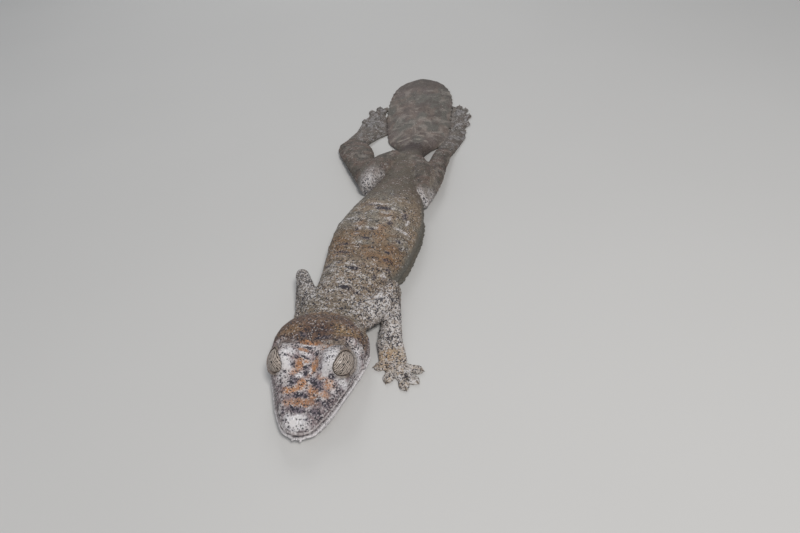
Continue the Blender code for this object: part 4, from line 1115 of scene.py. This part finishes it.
def paint_tail(p, s, d):
    """Mottled leaf in mauve, grey green and tan, with pale creases at its root."""
    along = (1.0, 1.7, 1.0)
    colour = mixed(TAIL_MAUVE, TAIL_GREEN, step(lumps(p, 6.0, 81, 3, along), 0.38, 0.62))
    colour = mixed(colour, TAIL_TAN, 0.8 * step(lumps(p, 3.6, 82, 3, along), 0.46, 0.68))
    colour = mixed(colour, linear(84, 75, 71), 0.55 * step(lumps(p, 2.4, 83, 3, along), 0.52, 0.7))
    bow = s + 0.03 * d * d
    veins = 1 - step(np.abs(noise(p, 4.2, 95, (1.1, 1.3, 1.0)) - 0.5), 0.02, 0.09)
    veins = np.maximum(veins, 1 - step(np.abs(noise(p, 3.1, 96, (1.2, 1.1, 1.0)) - 0.5), 0.02, 0.08))
    veins = veins * step(lumps(p, 3.0, 97, 2), 0.4, 0.6)
    colour = mixed(colour, linear(156, 148, 141), 0.5 * veins)
    colour = mixed(colour, linear(84, 77, 73), 0.6 * step(s, 141.0, 147.0))
    crease = np.sin(2 * math.pi * (bow / 3.4 + 1.2 * lumps(p, 6.0, 45))) * step(lumps(p, 3.0, 46), 0.42, 0.6)
    colour = mixed(colour, linear(158, 150, 141), 0.8 * step(crease, 0.2, 0.8) * hump(s, 99.0, 5.0))
    root = hump(s, 89.0, 5.0)
    colour = mixed(colour, linear(80, 72, 68), 0.75 * root)
    spot = patch(s, d, 91.5, 0.2, 3.8, 3.2, lumps(p, 1.4, 86))
    colour = mixed(colour, linear(66, 55, 55), 0.85 * spot)
    black = 0.04 + 0.12 * step(lumps(p, 1.2, 88), 0.56, 0.72)
    pale = 0.05 + 0.12 * step(lumps(p, 1.6, 89), 0.52, 0.7)
    return colour, black, pale, np.zeros(len(p)), np.full(len(p), 0.6)


def cap_edge(d):
    """Where the brown cap of the head begins: two arches that meet in a blunt point between the eyes."""
    return curve(CAP_EDGE, d)[:, 0]


def paint_head(p, s, d, z):
    """Pale face full of black scales, rusty and black figures on the snout, and a brown cap."""
    warp = lumps(p, 0.8, 71)
    middle = lumps(p, 2.0, 75)
    small = lumps(p, 0.9, 78, 2)
    face = mixed(MAUVE, PALE, step(middle, 0.38, 0.62))
    black = 0.36 + 0.18 * (step(small, 0.4, 0.6) - 0.5)
    pale = 0.34 + 0.2 * step(middle, 0.45, 0.65)
    rust = np.zeros(len(p))
    low = 1 - step(z, 6.0, 8.4)
    face = mixed(face, linear(128, 117, 120), 0.6 * low)
    cap = step(s - cap_edge(d) - 0.8 * (warp - 0.5), -0.25, 0.45) * step(z, 5.2, 7.4)
    face = mixed(face, CAP, cap)
    for at_s, at_d, half_s, half_d, amount, tint in HEAD_AREAS:
        area = amount * patch(s, d, at_s, at_d, half_s, half_d, middle, 0.7) * step(z, 5.0, 7.0)
        face = mixed(face, tint, area)
        pale = pale * (1 - 0.6 * area)
    black = black * (1 - cap) + (0.30 + 0.14 * step(small, 0.45, 0.6)) * cap
    pale = pale * (1 - cap) + (0.20 + 0.10 * step(middle, 0.5, 0.65)) * cap
    rust = rust + 0.15 * cap
    for marking in markings(HEAD_DUSK, s, d, warp):
        face = mixed(face, linear(98, 83, 87), 0.8 * marking)
        pale = pale * (1 - 0.45 * marking)
    for marking in markings(HEAD_RUST, s, d, warp):
        face = mixed(face, BLUSH, 0.85 * marking)
        rust = np.maximum(rust, 0.70 * marking)
        pale = pale * (1 - 0.3 * marking)
        black = black * (1 - 0.35 * marking)
    for marking in markings(HEAD_BURNT, s, d, small, 0.7):
        face = mixed(face, linear(116, 86, 70), 0.7 * marking)
        rust = rust * (1 - 0.45 * marking)
        black = np.maximum(black, 0.34 * marking)
    for marking in markings(HEAD_PALE, s, d, warp):
        face = mixed(face, WHITE, 0.8 * marking)
        black = black * (1 - 0.38 * marking)
        pale = np.maximum(pale, 0.86 * marking)
        rust = rust * (1 - marking)
    for marking in markings(HEAD_BLACK, s, d, warp):
        face = mixed(face, INK, 0.65 * marking)
        black = np.maximum(black, 0.80 * marking)
        pale = pale * (1 - 0.2 * marking)
        rust = rust * (1 - 0.8 * marking)
    # Thin dark line along the cap's front edge, on the brow ridges: partly the edge's own colour, partly
    # painted shade on the ridges' front faces
    line = hump(s - cap_edge(d), 0.05, 0.25) * step(z, 6.0, 8.0)
    face = mixed(face, BROW_LINE_AND_SHADE, 0.5 * line)
    mouth = mouth_height(s)
    front = s < MOUTH_CORNER[0]
    rim = (1 - step(z, mouth - 0.15, mouth)) * step(z, 1.0, 2.2) * front
    face = mixed(face, linear(226, 222, 224), 0.92 * rim)
    band = step(z, mouth + 0.05, mouth + 0.2) * (1 - step(z, mouth + 0.8, mouth + 1.0)) * front
    face = mixed(face, linear(186, 178, 178), 0.7 * band)
    black = black * (1 - 0.85 * rim) * (1 - 0.6 * band)
    rust = rust * (1 - rim)
    groove = hump(z - mouth, 0.0, 0.2) * front
    face = mixed(face, linear(50, 42, 42), 0.85 * groove)
    second = hump(z - mouth, 1.0, 0.14) * front
    face = mixed(face, linear(76, 66, 66), 0.75 * second)
    for side in (1, -1):
        t, r, angle, opening = about_eye(p, side)
        ahead = step(t, 0.0, 0.6)
        lid = hump(r - opening, 0.3, 0.34) * ahead
        inner = step(-np.cos(angle) - side * np.sin(angle), 0.3, 1.1)
        lid = lid * (1 - 0.55 * inner)
        outer = hump(r - opening, 1.1, 0.3) * ahead * step(np.cos(angle - 0.3 * side), -0.3, 0.5)
        # Painted shade: the socket wall inside the opening, seen in the gap round the eyeball, is darkened
        # as shadow
        eye_gap_shade = (1 - step(r, opening - 0.3, opening)) * ahead
        dark_ring = hump(r - opening, 0.7, 0.15) * ahead * (1 - 0.7 * inner)
        face = mixed(face, OLIVE, 0.8 * lid)
        face = mixed(face, OLIVE, 0.5 * outer)
        face = mixed(face, linear(70, 60, 52), 0.55 * dark_ring)
        # Painted shade in the gap round the eyeball
        face = mixed(face, linear(66, 54, 46), eye_gap_shade)
        black = black * (1 - 0.75 * np.maximum(lid, eye_gap_shade))
        pale = pale * (1 - 0.8 * np.maximum(lid, eye_gap_shade))
    return face, black, pale, rust, np.ones(len(p))


def paint(p, s, d, z, on_limb, on_foot):
    """Base colour of the skin, the chances of a black, pale or rusty scale, and how grainy it is."""
    nape = s - 0.9 + 0.05 * d * d * (np.abs(d) < 12) + 0.8 * (lumps(p, 1.2, 72) - 0.5)
    head = (1 - step(nape, -0.9, 0.9)) * (1 - on_limb)
    tail = step(s, 84.0, 94.0) * (1 - on_limb)
    values = list(paint_trunk(p, s, d, z, on_limb))
    for share, part in ((tail, paint_tail(p, s, d)), (head, paint_head(p, s, d, z))):
        values[0] = mixed(values[0], part[0], share)
        for k in range(1, 5):
            values[k] = values[k] * (1 - share) + part[k] * share
    colour, black, pale, rust, grain = values
    hand = on_foot * (s < 30.0)
    colour = mixed(colour, linear(172, 166, 160), 0.6 * hand)
    pale = np.maximum(pale, 0.42 * hand)
    palm = np.exp(-(((p[:, 0] - 18.4) ** 2 + (p[:, 1] + 4.6) ** 2) / 16.0) ** 1.5)
    spread = np.maximum(palm, 0.5 * step(lumps(p, 2.0, 87), 0.5, 0.64))
    gold = hand * spread * step(lumps(p, 1.2, 90), 0.3, 0.5)
    colour = mixed(colour, GOLD, 0.65 * gold)
    black = np.maximum(black, 0.38 * gold)
    rust = rust + 0.16 * gold
    pale = pale * (1 - 0.35 * gold)
    hind = on_foot * (s > 80.0)
    colour = mixed(colour, linear(98, 95, 91), 0.5 * hind)
    colour = mixed(colour, linear(152, 149, 150), 0.6 * hind * step(lumps(p, 1.3, 98, 2), 0.5, 0.66))
    pale = np.maximum(pale, 0.28 * hind)
    beside = np.abs(d) - on_table(s, TABLE_SECTION[:, 0])
    reach = np.where(d > 0, *WEB_ENDS)
    # Painted shadow: a dark line along the tail's edge where the webs of the hind feet lie against it
    web_edge_shade = np.exp(-(beside / 0.28) ** 2) * step(s, 105.0, 107.0) * (1 - step(s, reach, reach + 1.5))
    colour = mixed(colour, linear(56, 50, 46), 0.75 * web_edge_shade)
    under = 1 - step(z, 0.05, 0.45)
    colour = mixed(colour, linear(160, 150, 140), 0.5 * under)
    black = black * (1 - 0.7 * under)
    return colour, *(np.clip(v, 0.0, 1.0) for v in (black, pale, rust, grain))


def limb_shares(p):
    """How far each point belongs to a limb, and to a foot."""
    limb = np.zeros(len(p))
    foot = np.zeros(len(p))
    s, d = to_spine(p)
    body = trunk(s, d, p[:, 2])
    for name in LIMBS:
        near = box_mask(p, limb_window(name), LIMB_MARGIN)
        q = p[near]
        upper = LIMBS[name][0]
        arm = np.minimum(tube(q, sampled(upper, 7))[0], tube(q, lower_tube(name))[0])
        end = foot_field(q, name)
        off_body = step(body[near], -0.2, 1.2)
        limb[near] = np.maximum(limb[near], (1 - step(np.minimum(arm, end), 0.1, 1.0)) * off_body)
        foot[near] = np.maximum(foot[near], (1 - step(end, 0.1, 0.6)) * off_body)
    return limb, foot


# Materials: colours of single scales, of the eyes, of the claws and of the floor

RUSTY_SCALE = (0.47, 0.205, 0.074, 1.0)
PALE_SCALE = (0.72, 0.70, 0.70, 1.0)
BLACK_SCALE = (0.022, 0.020, 0.030, 1.0)
IRIS_BEIGE = (0.50, 0.43, 0.375, 1.0)
IRIS_LINE = (0.042, 0.029, 0.022, 1.0)
IRIS_RIM = (0.055, 0.043, 0.033, 1.0)
PUPIL = (0.006, 0.005, 0.005, 1.0)
HORN = ((0.10, 0.075, 0.055, 1.0), (0.26, 0.21, 0.16, 1.0))
FLOOR_TONES = ((0.60, 0.60, 0.59, 1.0), (0.64, 0.64, 0.63, 1.0))


def new_material(name):
    made = bpy.data.materials.new(name)
    made.use_nodes = True
    tree = made.node_tree
    return made, tree, tree.nodes["Principled BSDF"]


def add_node(tree, kind, **settings):
    node = tree.nodes.new(kind)
    for key, value in settings.items():
        setattr(node, key, value)
    return node


def math_node(tree, operation, a, b=None, clamp=False):
    node = add_node(tree, "ShaderNodeMath", operation=operation, use_clamp=clamp)
    for socket, value in zip(node.inputs, (a, b)):
        if value is None:
            continue
        if isinstance(value, (int, float)):
            socket.default_value = value
        else:
            tree.links.new(value, socket)
    return node.outputs[0]


def mix_colour(tree, amount, a, b, blend="MIX"):
    node = add_node(tree, "ShaderNodeMix", data_type="RGBA", blend_type=blend)
    for socket, value in ((node.inputs[0], amount), (node.inputs[6], a), (node.inputs[7], b)):
        if isinstance(value, (int, float, tuple)):
            socket.default_value = value
        else:
            tree.links.new(value, socket)
    return node.outputs[2]


def attribute(tree, name, output="Fac"):
    return add_node(tree, "ShaderNodeAttribute", attribute_name=name).outputs[output]


def cells(tree, place, size):
    """A mosaic of rounded scales of a given size in millimetres."""
    node = add_node(tree, "ShaderNodeTexVoronoi", voronoi_dimensions="3D")
    node.inputs["Scale"].default_value = 1000.0 / size
    node.inputs["Randomness"].default_value = 0.9
    tree.links.new(place, node.inputs["Vector"])
    return node


def noise_texture(tree, place, scale, detail=2.0, roughness=0.5):
    node = add_node(tree, "ShaderNodeTexNoise")
    for name, value in (("Scale", scale), ("Detail", detail), ("Roughness", roughness)):
        node.inputs[name].default_value = value
    tree.links.new(place, node.inputs["Vector"])
    return node.outputs["Fac"]


def noise_ridge(tree, place, size, offset):
    """Zero along winding lines about as far apart as the size in millimetres, rising between them."""
    shift = add_node(tree, "ShaderNodeVectorMath", operation="ADD")
    shift.inputs[1].default_value = (offset, offset, offset)
    tree.links.new(place, shift.inputs[0])
    field = noise_texture(tree, shift.outputs[0], 1000.0 / (size * 1.6), roughness=0.45)
    centred = math_node(tree, "SUBTRACT", field, 0.5)
    return math_node(tree, "MULTIPLY", math_node(tree, "ABSOLUTE", centred), 4.0)


def skin_material():
    """Single scales that vary in tone, each with its own chance of being black, pale or rusty."""
    made, tree, shader = new_material("gecko_skin")
    place = add_node(tree, "ShaderNodeTexCoord").outputs["Object"]
    tone = attribute(tree, "tone", "Color")
    black, pale, rust, grain = [attribute(tree, name) for name in CHANCES]
    fine = cells(tree, place, SCALE_SIZE)
    split = add_node(tree, "ShaderNodeSeparateColor")
    tree.links.new(fine.outputs["Color"], split.inputs[0])
    more = add_node(tree, "ShaderNodeTexWhiteNoise", noise_dimensions="3D")
    tree.links.new(fine.outputs["Position"], more.inputs["Vector"])

    spread = math_node(tree, "MULTIPLY", math_node(tree, "SUBTRACT", split.outputs[1], 0.5), 0.85)
    shade = math_node(tree, "ADD", math_node(tree, "MULTIPLY", spread, grain), 1.0)
    value = add_node(tree, "ShaderNodeCombineColor")
    for k in range(3):
        tree.links.new(shade, value.inputs[k])
    varied = mix_colour(tree, 1.0, tone, value.outputs[0], "MULTIPLY")

    is_rust = math_node(tree, "LESS_THAN", more.outputs["Value"], rust)
    heat = math_node(tree, "MULTIPLY", rust, 1.1, clamp=True)
    warm = mix_colour(tree, math_node(tree, "MULTIPLY", is_rust, heat), varied, RUSTY_SCALE)
    patches = noise_ridge(tree, fine.outputs["Position"], 0.64, 31.0)
    pale_draw = math_node(tree, "MULTIPLY", split.outputs[2], 0.5)
    pale_draw = math_node(tree, "ADD", pale_draw, math_node(tree, "MULTIPLY", patches, 1.2))
    is_pale = math_node(tree, "LESS_THAN", pale_draw, pale)
    strength = math_node(tree, "ADD", math_node(tree, "MULTIPLY", pale, 0.85), 0.15)
    lit = mix_colour(tree, math_node(tree, "MULTIPLY", is_pale, strength), warm, PALE_SCALE)
    chains = noise_ridge(tree, fine.outputs["Position"], 0.54, 0.0)
    draw = math_node(tree, "MULTIPLY", split.outputs[0], 0.42)
    draw = math_node(tree, "ADD", draw, math_node(tree, "MULTIPLY", chains, 1.5))
    is_black = math_node(tree, "LESS_THAN", draw, black)
    dark = mix_colour(tree, math_node(tree, "MULTIPLY", is_black, 0.92), lit, BLACK_SCALE)
    tree.links.new(dark, shader.inputs["Base Color"])

    rough = add_node(tree, "ShaderNodeMapRange")
    rough.inputs["To Min"].default_value = 0.52
    rough.inputs["To Max"].default_value = 0.78
    tree.links.new(split.outputs[2], rough.inputs["Value"])
    tree.links.new(rough.outputs[0], shader.inputs["Roughness"])
    shader.inputs["Specular IOR Level"].default_value = 0.38

    rise = math_node(tree, "MULTIPLY", fine.outputs["Distance"], -1.0)
    relief = add_node(tree, "ShaderNodeBump")
    relief.inputs["Strength"].default_value = 0.6
    relief.inputs["Distance"].default_value = 0.00012
    tree.links.new(rise, relief.inputs["Height"])
    tree.links.new(relief.outputs[0], shader.inputs["Normal"])
    return made


def eye_material():
    """Beige eye with fine wavy brown lines and a closed slit of dark points."""
    made, tree, shader = new_material("gecko_eye")
    place = attribute(tree, "eye_place", "Vector")
    drawn = add_node(tree, "ShaderNodeVectorMath", operation="MULTIPLY")
    drawn.inputs[1].default_value = (1.0, 0.5, 0.5)
    tree.links.new(place, drawn.inputs[0])
    ripple = noise_texture(tree, drawn.outputs[0], 1.1)
    split = add_node(tree, "ShaderNodeSeparateXYZ")
    tree.links.new(place, split.inputs[0])
    across = math_node(tree, "MULTIPLY", split.outputs[0], 15.0)
    bend = math_node(tree, "MULTIPLY", ripple, 14.0)
    waves = math_node(tree, "SINE", math_node(tree, "ADD", across, bend))
    broken = noise_texture(tree, place, 2.2)
    gaps = math_node(tree, "MULTIPLY", math_node(tree, "SUBTRACT", broken, 0.5), 3.2)
    level = math_node(tree, "ADD", waves, gaps)
    ramp = add_node(tree, "ShaderNodeMapRange", interpolation_type="SMOOTHSTEP")
    ramp.inputs["From Min"].default_value = -0.1
    ramp.inputs["From Max"].default_value = 0.7
    tree.links.new(level, ramp.inputs["Value"])
    iris = mix_colour(tree, ramp.outputs[0], IRIS_BEIGE, IRIS_LINE)
    rim = attribute(tree, "rim")
    iris = mix_colour(tree, rim, iris, IRIS_RIM)
    pupil = attribute(tree, "pupil")
    iris = mix_colour(tree, pupil, iris, PUPIL)
    tree.links.new(iris, shader.inputs["Base Color"])
    shader.inputs["Roughness"].default_value = 0.48
    shader.inputs["Coat Weight"].default_value = 0.18
    shader.inputs["Coat Roughness"].default_value = 0.18
    return made


def claw_material():
    made, tree, shader = new_material("gecko_claw")
    place = add_node(tree, "ShaderNodeTexCoord").outputs["Object"]
    horn = mix_colour(tree, noise_texture(tree, place, 2400.0), *HORN)
    tree.links.new(horn, shader.inputs["Base Color"])
    shader.inputs["Roughness"].default_value = 0.35
    return made


def floor_material():
    made, tree, shader = new_material("studio_floor")
    place = add_node(tree, "ShaderNodeTexCoord").outputs["Object"]
    tint = mix_colour(tree, noise_texture(tree, place, 9.0), *FLOOR_TONES)
    tree.links.new(tint, shader.inputs["Base Color"])
    shader.inputs["Roughness"].default_value = 0.9
    return made


# Pieces

def placed(points):
    return (points + np.array(ORIGIN_SHIFT)) * MM


def linked(name, data):
    obj = bpy.data.objects.new(name, data)
    bpy.context.scene.collection.objects.link(obj)
    return obj


def shown(name, mesh, made, nodes):
    obj = linked(name, mesh)
    mesh.materials.clear()
    mesh.materials.append(made)
    mesh.shade_smooth()
    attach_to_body(obj, "root")
    if nodes:
        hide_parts(*nodes)


def make_skin():
    mesh, p, normals = skin_mesh()
    s, d = to_spine(p)
    z = p[:, 2]
    on_limb, on_foot = limb_shares(p)
    height = fine_relief(p, s, d, z) * step(z, 0.1, 0.8) * (1 - 0.6 * on_foot)
    edge = np.zeros(len(p), dtype=bool)
    for side in (1, -1):
        centre, _ = eye_place(side)
        edge |= np.linalg.norm(p - centre, axis=1) < EYE_RADIUS + 0.5
    height = np.where(edge, height * 0.3, height)
    colour, *chances = paint(p, s, d, z, on_limb, on_foot)
    p = p + normals * height[:, None]
    p[:, 2] = np.maximum(p[:, 2], 0.0)
    mesh.vertices.foreach_set("co", placed(p).ravel())
    tone = mesh.color_attributes.new("tone", "FLOAT_COLOR", "POINT")
    tone.data.foreach_set("color", np.column_stack([colour, np.ones(len(p))]).ravel())
    for name, values in zip(CHANCES, chances):
        mesh.attributes.new(name, "FLOAT", "POINT").data.foreach_set("value", values)
    mesh.update()
    shown("skin", mesh, skin_material(), FLESH_NODES)


def make_eyes(made):
    """Each eye is a ball with a slightly domed front, turned to look along its axis."""
    for side, word in ((1, "left"), (-1, "right")):
        centre, axis, along, across = eye_frame(side, PUPIL_AXIS)
        bm = bmesh.new()
        bmesh.ops.create_uvsphere(bm, u_segments=160, v_segments=110, radius=EYE_RADIUS)
        mesh = bpy.data.meshes.new("eye_" + word)
        bm.to_mesh(mesh)
        bm.free()
        local = mesh_arrays(mesh)[0]
        front = step(local[:, 2], 2.2, 3.9)
        slit = local[:, 0] - 0.12 * np.sin(2.2 * local[:, 1])
        pupil = np.exp(-(slit / 0.07) ** 2) * (1 - step(np.abs(local[:, 1]), 2.0, 2.7)) * 0.35
        for at, aside, size in PINHOLES:
            away = np.hypot(slit - aside * side, (local[:, 1] - at) * 0.75)
            pupil = np.maximum(pupil, 1 - step(away, 0.55 * size, size))
        pupil = np.where(local[:, 2] > 0, pupil, 0.0)
        shape = local * (1 + 0.02 * front)[:, None]
        world = centre + shape[:, :1] * across + shape[:, 1:2] * along + shape[:, 2:] * axis
        mesh.vertices.foreach_set("co", placed(world).ravel())
        mark = mesh.attributes.new("eye_place", "FLOAT_VECTOR", "POINT")
        mark.data.foreach_set("vector", local.ravel())
        _, r, _, opening = about_eye(world, side)
        rim = np.where(local[:, 2] > 0, step(r, opening - 0.3, opening - 0.08), 1.0)
        for name, values in (("pupil", pupil), ("rim", rim)):
            mesh.attributes.new(name, "FLOAT", "POINT").data.foreach_set("value", values)
        mesh.update()
        shown("eyeball_" + word, mesh, made, ["eye_" + word])


def make_claws(made):
    """A short curved claw at the end of each toe."""
    bm = bmesh.new()
    for _, _, palm, _, _, _, tips in FEET.values():
        for tip in tips:
            ahead = np.array(tip) - np.array(palm)
            ahead = ahead / np.linalg.norm(ahead)
            sideways = np.array([ahead[1], -ahead[0]])
            loops = []
            for k in range(6):
                t = k / 5
                out = -0.55 + CLAW_LENGTH * math.sin(t * 1.25) / math.sin(1.25)
                high = 0.62 + 0.28 * math.sin(math.pi * t * 0.8) - 0.42 * t * t
                radius = CLAW_RADIUS * (1 - t) ** 0.7 + 0.02
                loop = []
                for i in range(8):
                    a = 2 * math.pi * i / 8
                    flat = np.array(tip) + ahead * out + sideways * radius * math.cos(a)
                    rise = max(high + radius * math.sin(a), 0.05)
                    loop.append(bm.verts.new(placed(np.array([*flat, rise]))))
                loops.append(loop)
            for one, two in zip(loops[:-1], loops[1:]):
                for i in range(8):
                    n = (i + 1) % 8
                    bm.faces.new((one[i], one[n], two[n], two[i]))
            bm.faces.new(loops[0][::-1])
            bm.faces.new(loops[-1])
    bmesh.ops.recalc_face_normals(bm, faces=bm.faces)
    mesh = bpy.data.meshes.new("claws")
    bm.to_mesh(mesh)
    bm.free()
    shown("claws", mesh, made, [])


# Studio: name, place, target, size in metres, power in watts and colour of each light

LIGHTS = (
    ("key", (0.20, -0.24, 0.42), (0.0, -0.02, 0.0), 0.10, 1.4, (1.0, 0.97, 0.94)),
    ("fill", (-0.38, -0.10, 0.30), (0.0, -0.01, 0.0), 0.30, 0.15, (0.94, 0.97, 1.0)),
    ("back", (-0.16, 0.40, 0.34), (0.0, 0.02, 0.0), 0.20, 0.6, (1.0, 1.0, 1.0)),
)
SKY_COLOUR = (0.93, 0.95, 1.0, 1.0)
SKY_STRENGTH = 0.26
FLOOR_REACH = 3.0


def area_light(name, place, target, size, energy, colour):
    light = bpy.data.lights.new(name, "AREA")
    light.size = size
    light.energy = energy
    light.color = colour
    obj = linked(name, light)
    obj.location = place
    obj.rotation_euler = (Vector(target) - Vector(place)).to_track_quat("-Z", "Y").to_euler()


def make_studio():
    mesh = bpy.data.meshes.new("floor")
    corners = [(x * FLOOR_REACH, y * FLOOR_REACH, 0) for x, y in ((-1, -1), (1, -1), (1, 1), (-1, 1))]
    mesh.from_pydata(corners, [], [(0, 1, 2, 3)])
    floor = linked("floor", mesh)
    mesh.materials.append(floor_material())
    world = bpy.data.worlds.new("studio")
    bpy.context.scene.world = world
    world.use_nodes = True
    sky = world.node_tree.nodes["Background"]
    sky.inputs[0].default_value = SKY_COLOUR
    sky.inputs[1].default_value = SKY_STRENGTH
    for light in LIGHTS:
        area_light(*light)
    bpy.context.scene.view_settings.view_transform = "Standard"


# Camera: place and angles in the animal's frame, matched to the photograph

CAMERA_PLACE = (60.913, -101.842, 129.209)
CAMERA_YAW = 0.359
CAMERA_PITCH = 0.736
CAMERA_ROLL = -0.128
CAMERA_LENS = 28.05
SENSOR_WIDTH = 36.0


def make_camera():
    ahead = Vector((
        -math.sin(CAMERA_YAW) * math.cos(CAMERA_PITCH),
        math.cos(CAMERA_YAW) * math.cos(CAMERA_PITCH),
        -math.sin(CAMERA_PITCH),
    ))
    level = Vector((math.cos(CAMERA_YAW), math.sin(CAMERA_YAW), 0.0))
    upright = level.cross(ahead)
    right = level * math.cos(CAMERA_ROLL) + upright * math.sin(CAMERA_ROLL)
    up = upright * math.cos(CAMERA_ROLL) - level * math.sin(CAMERA_ROLL)
    camera = bpy.data.cameras.new("camera")
    camera.lens = CAMERA_LENS
    camera.sensor_width = SENSOR_WIDTH
    camera.clip_start = 0.005
    camera.clip_end = 20.0
    obj = linked("camera", camera)
    turn = Matrix((right, up, -ahead)).transposed().to_4x4()
    obj.matrix_world = Matrix.Translation(placed(np.array(CAMERA_PLACE))) @ turn
    bpy.context.scene.camera = obj


def main():
    make_camera()
    make_skin()
    make_eyes(eye_material())
    make_claws(claw_material())
    make_studio()


main()
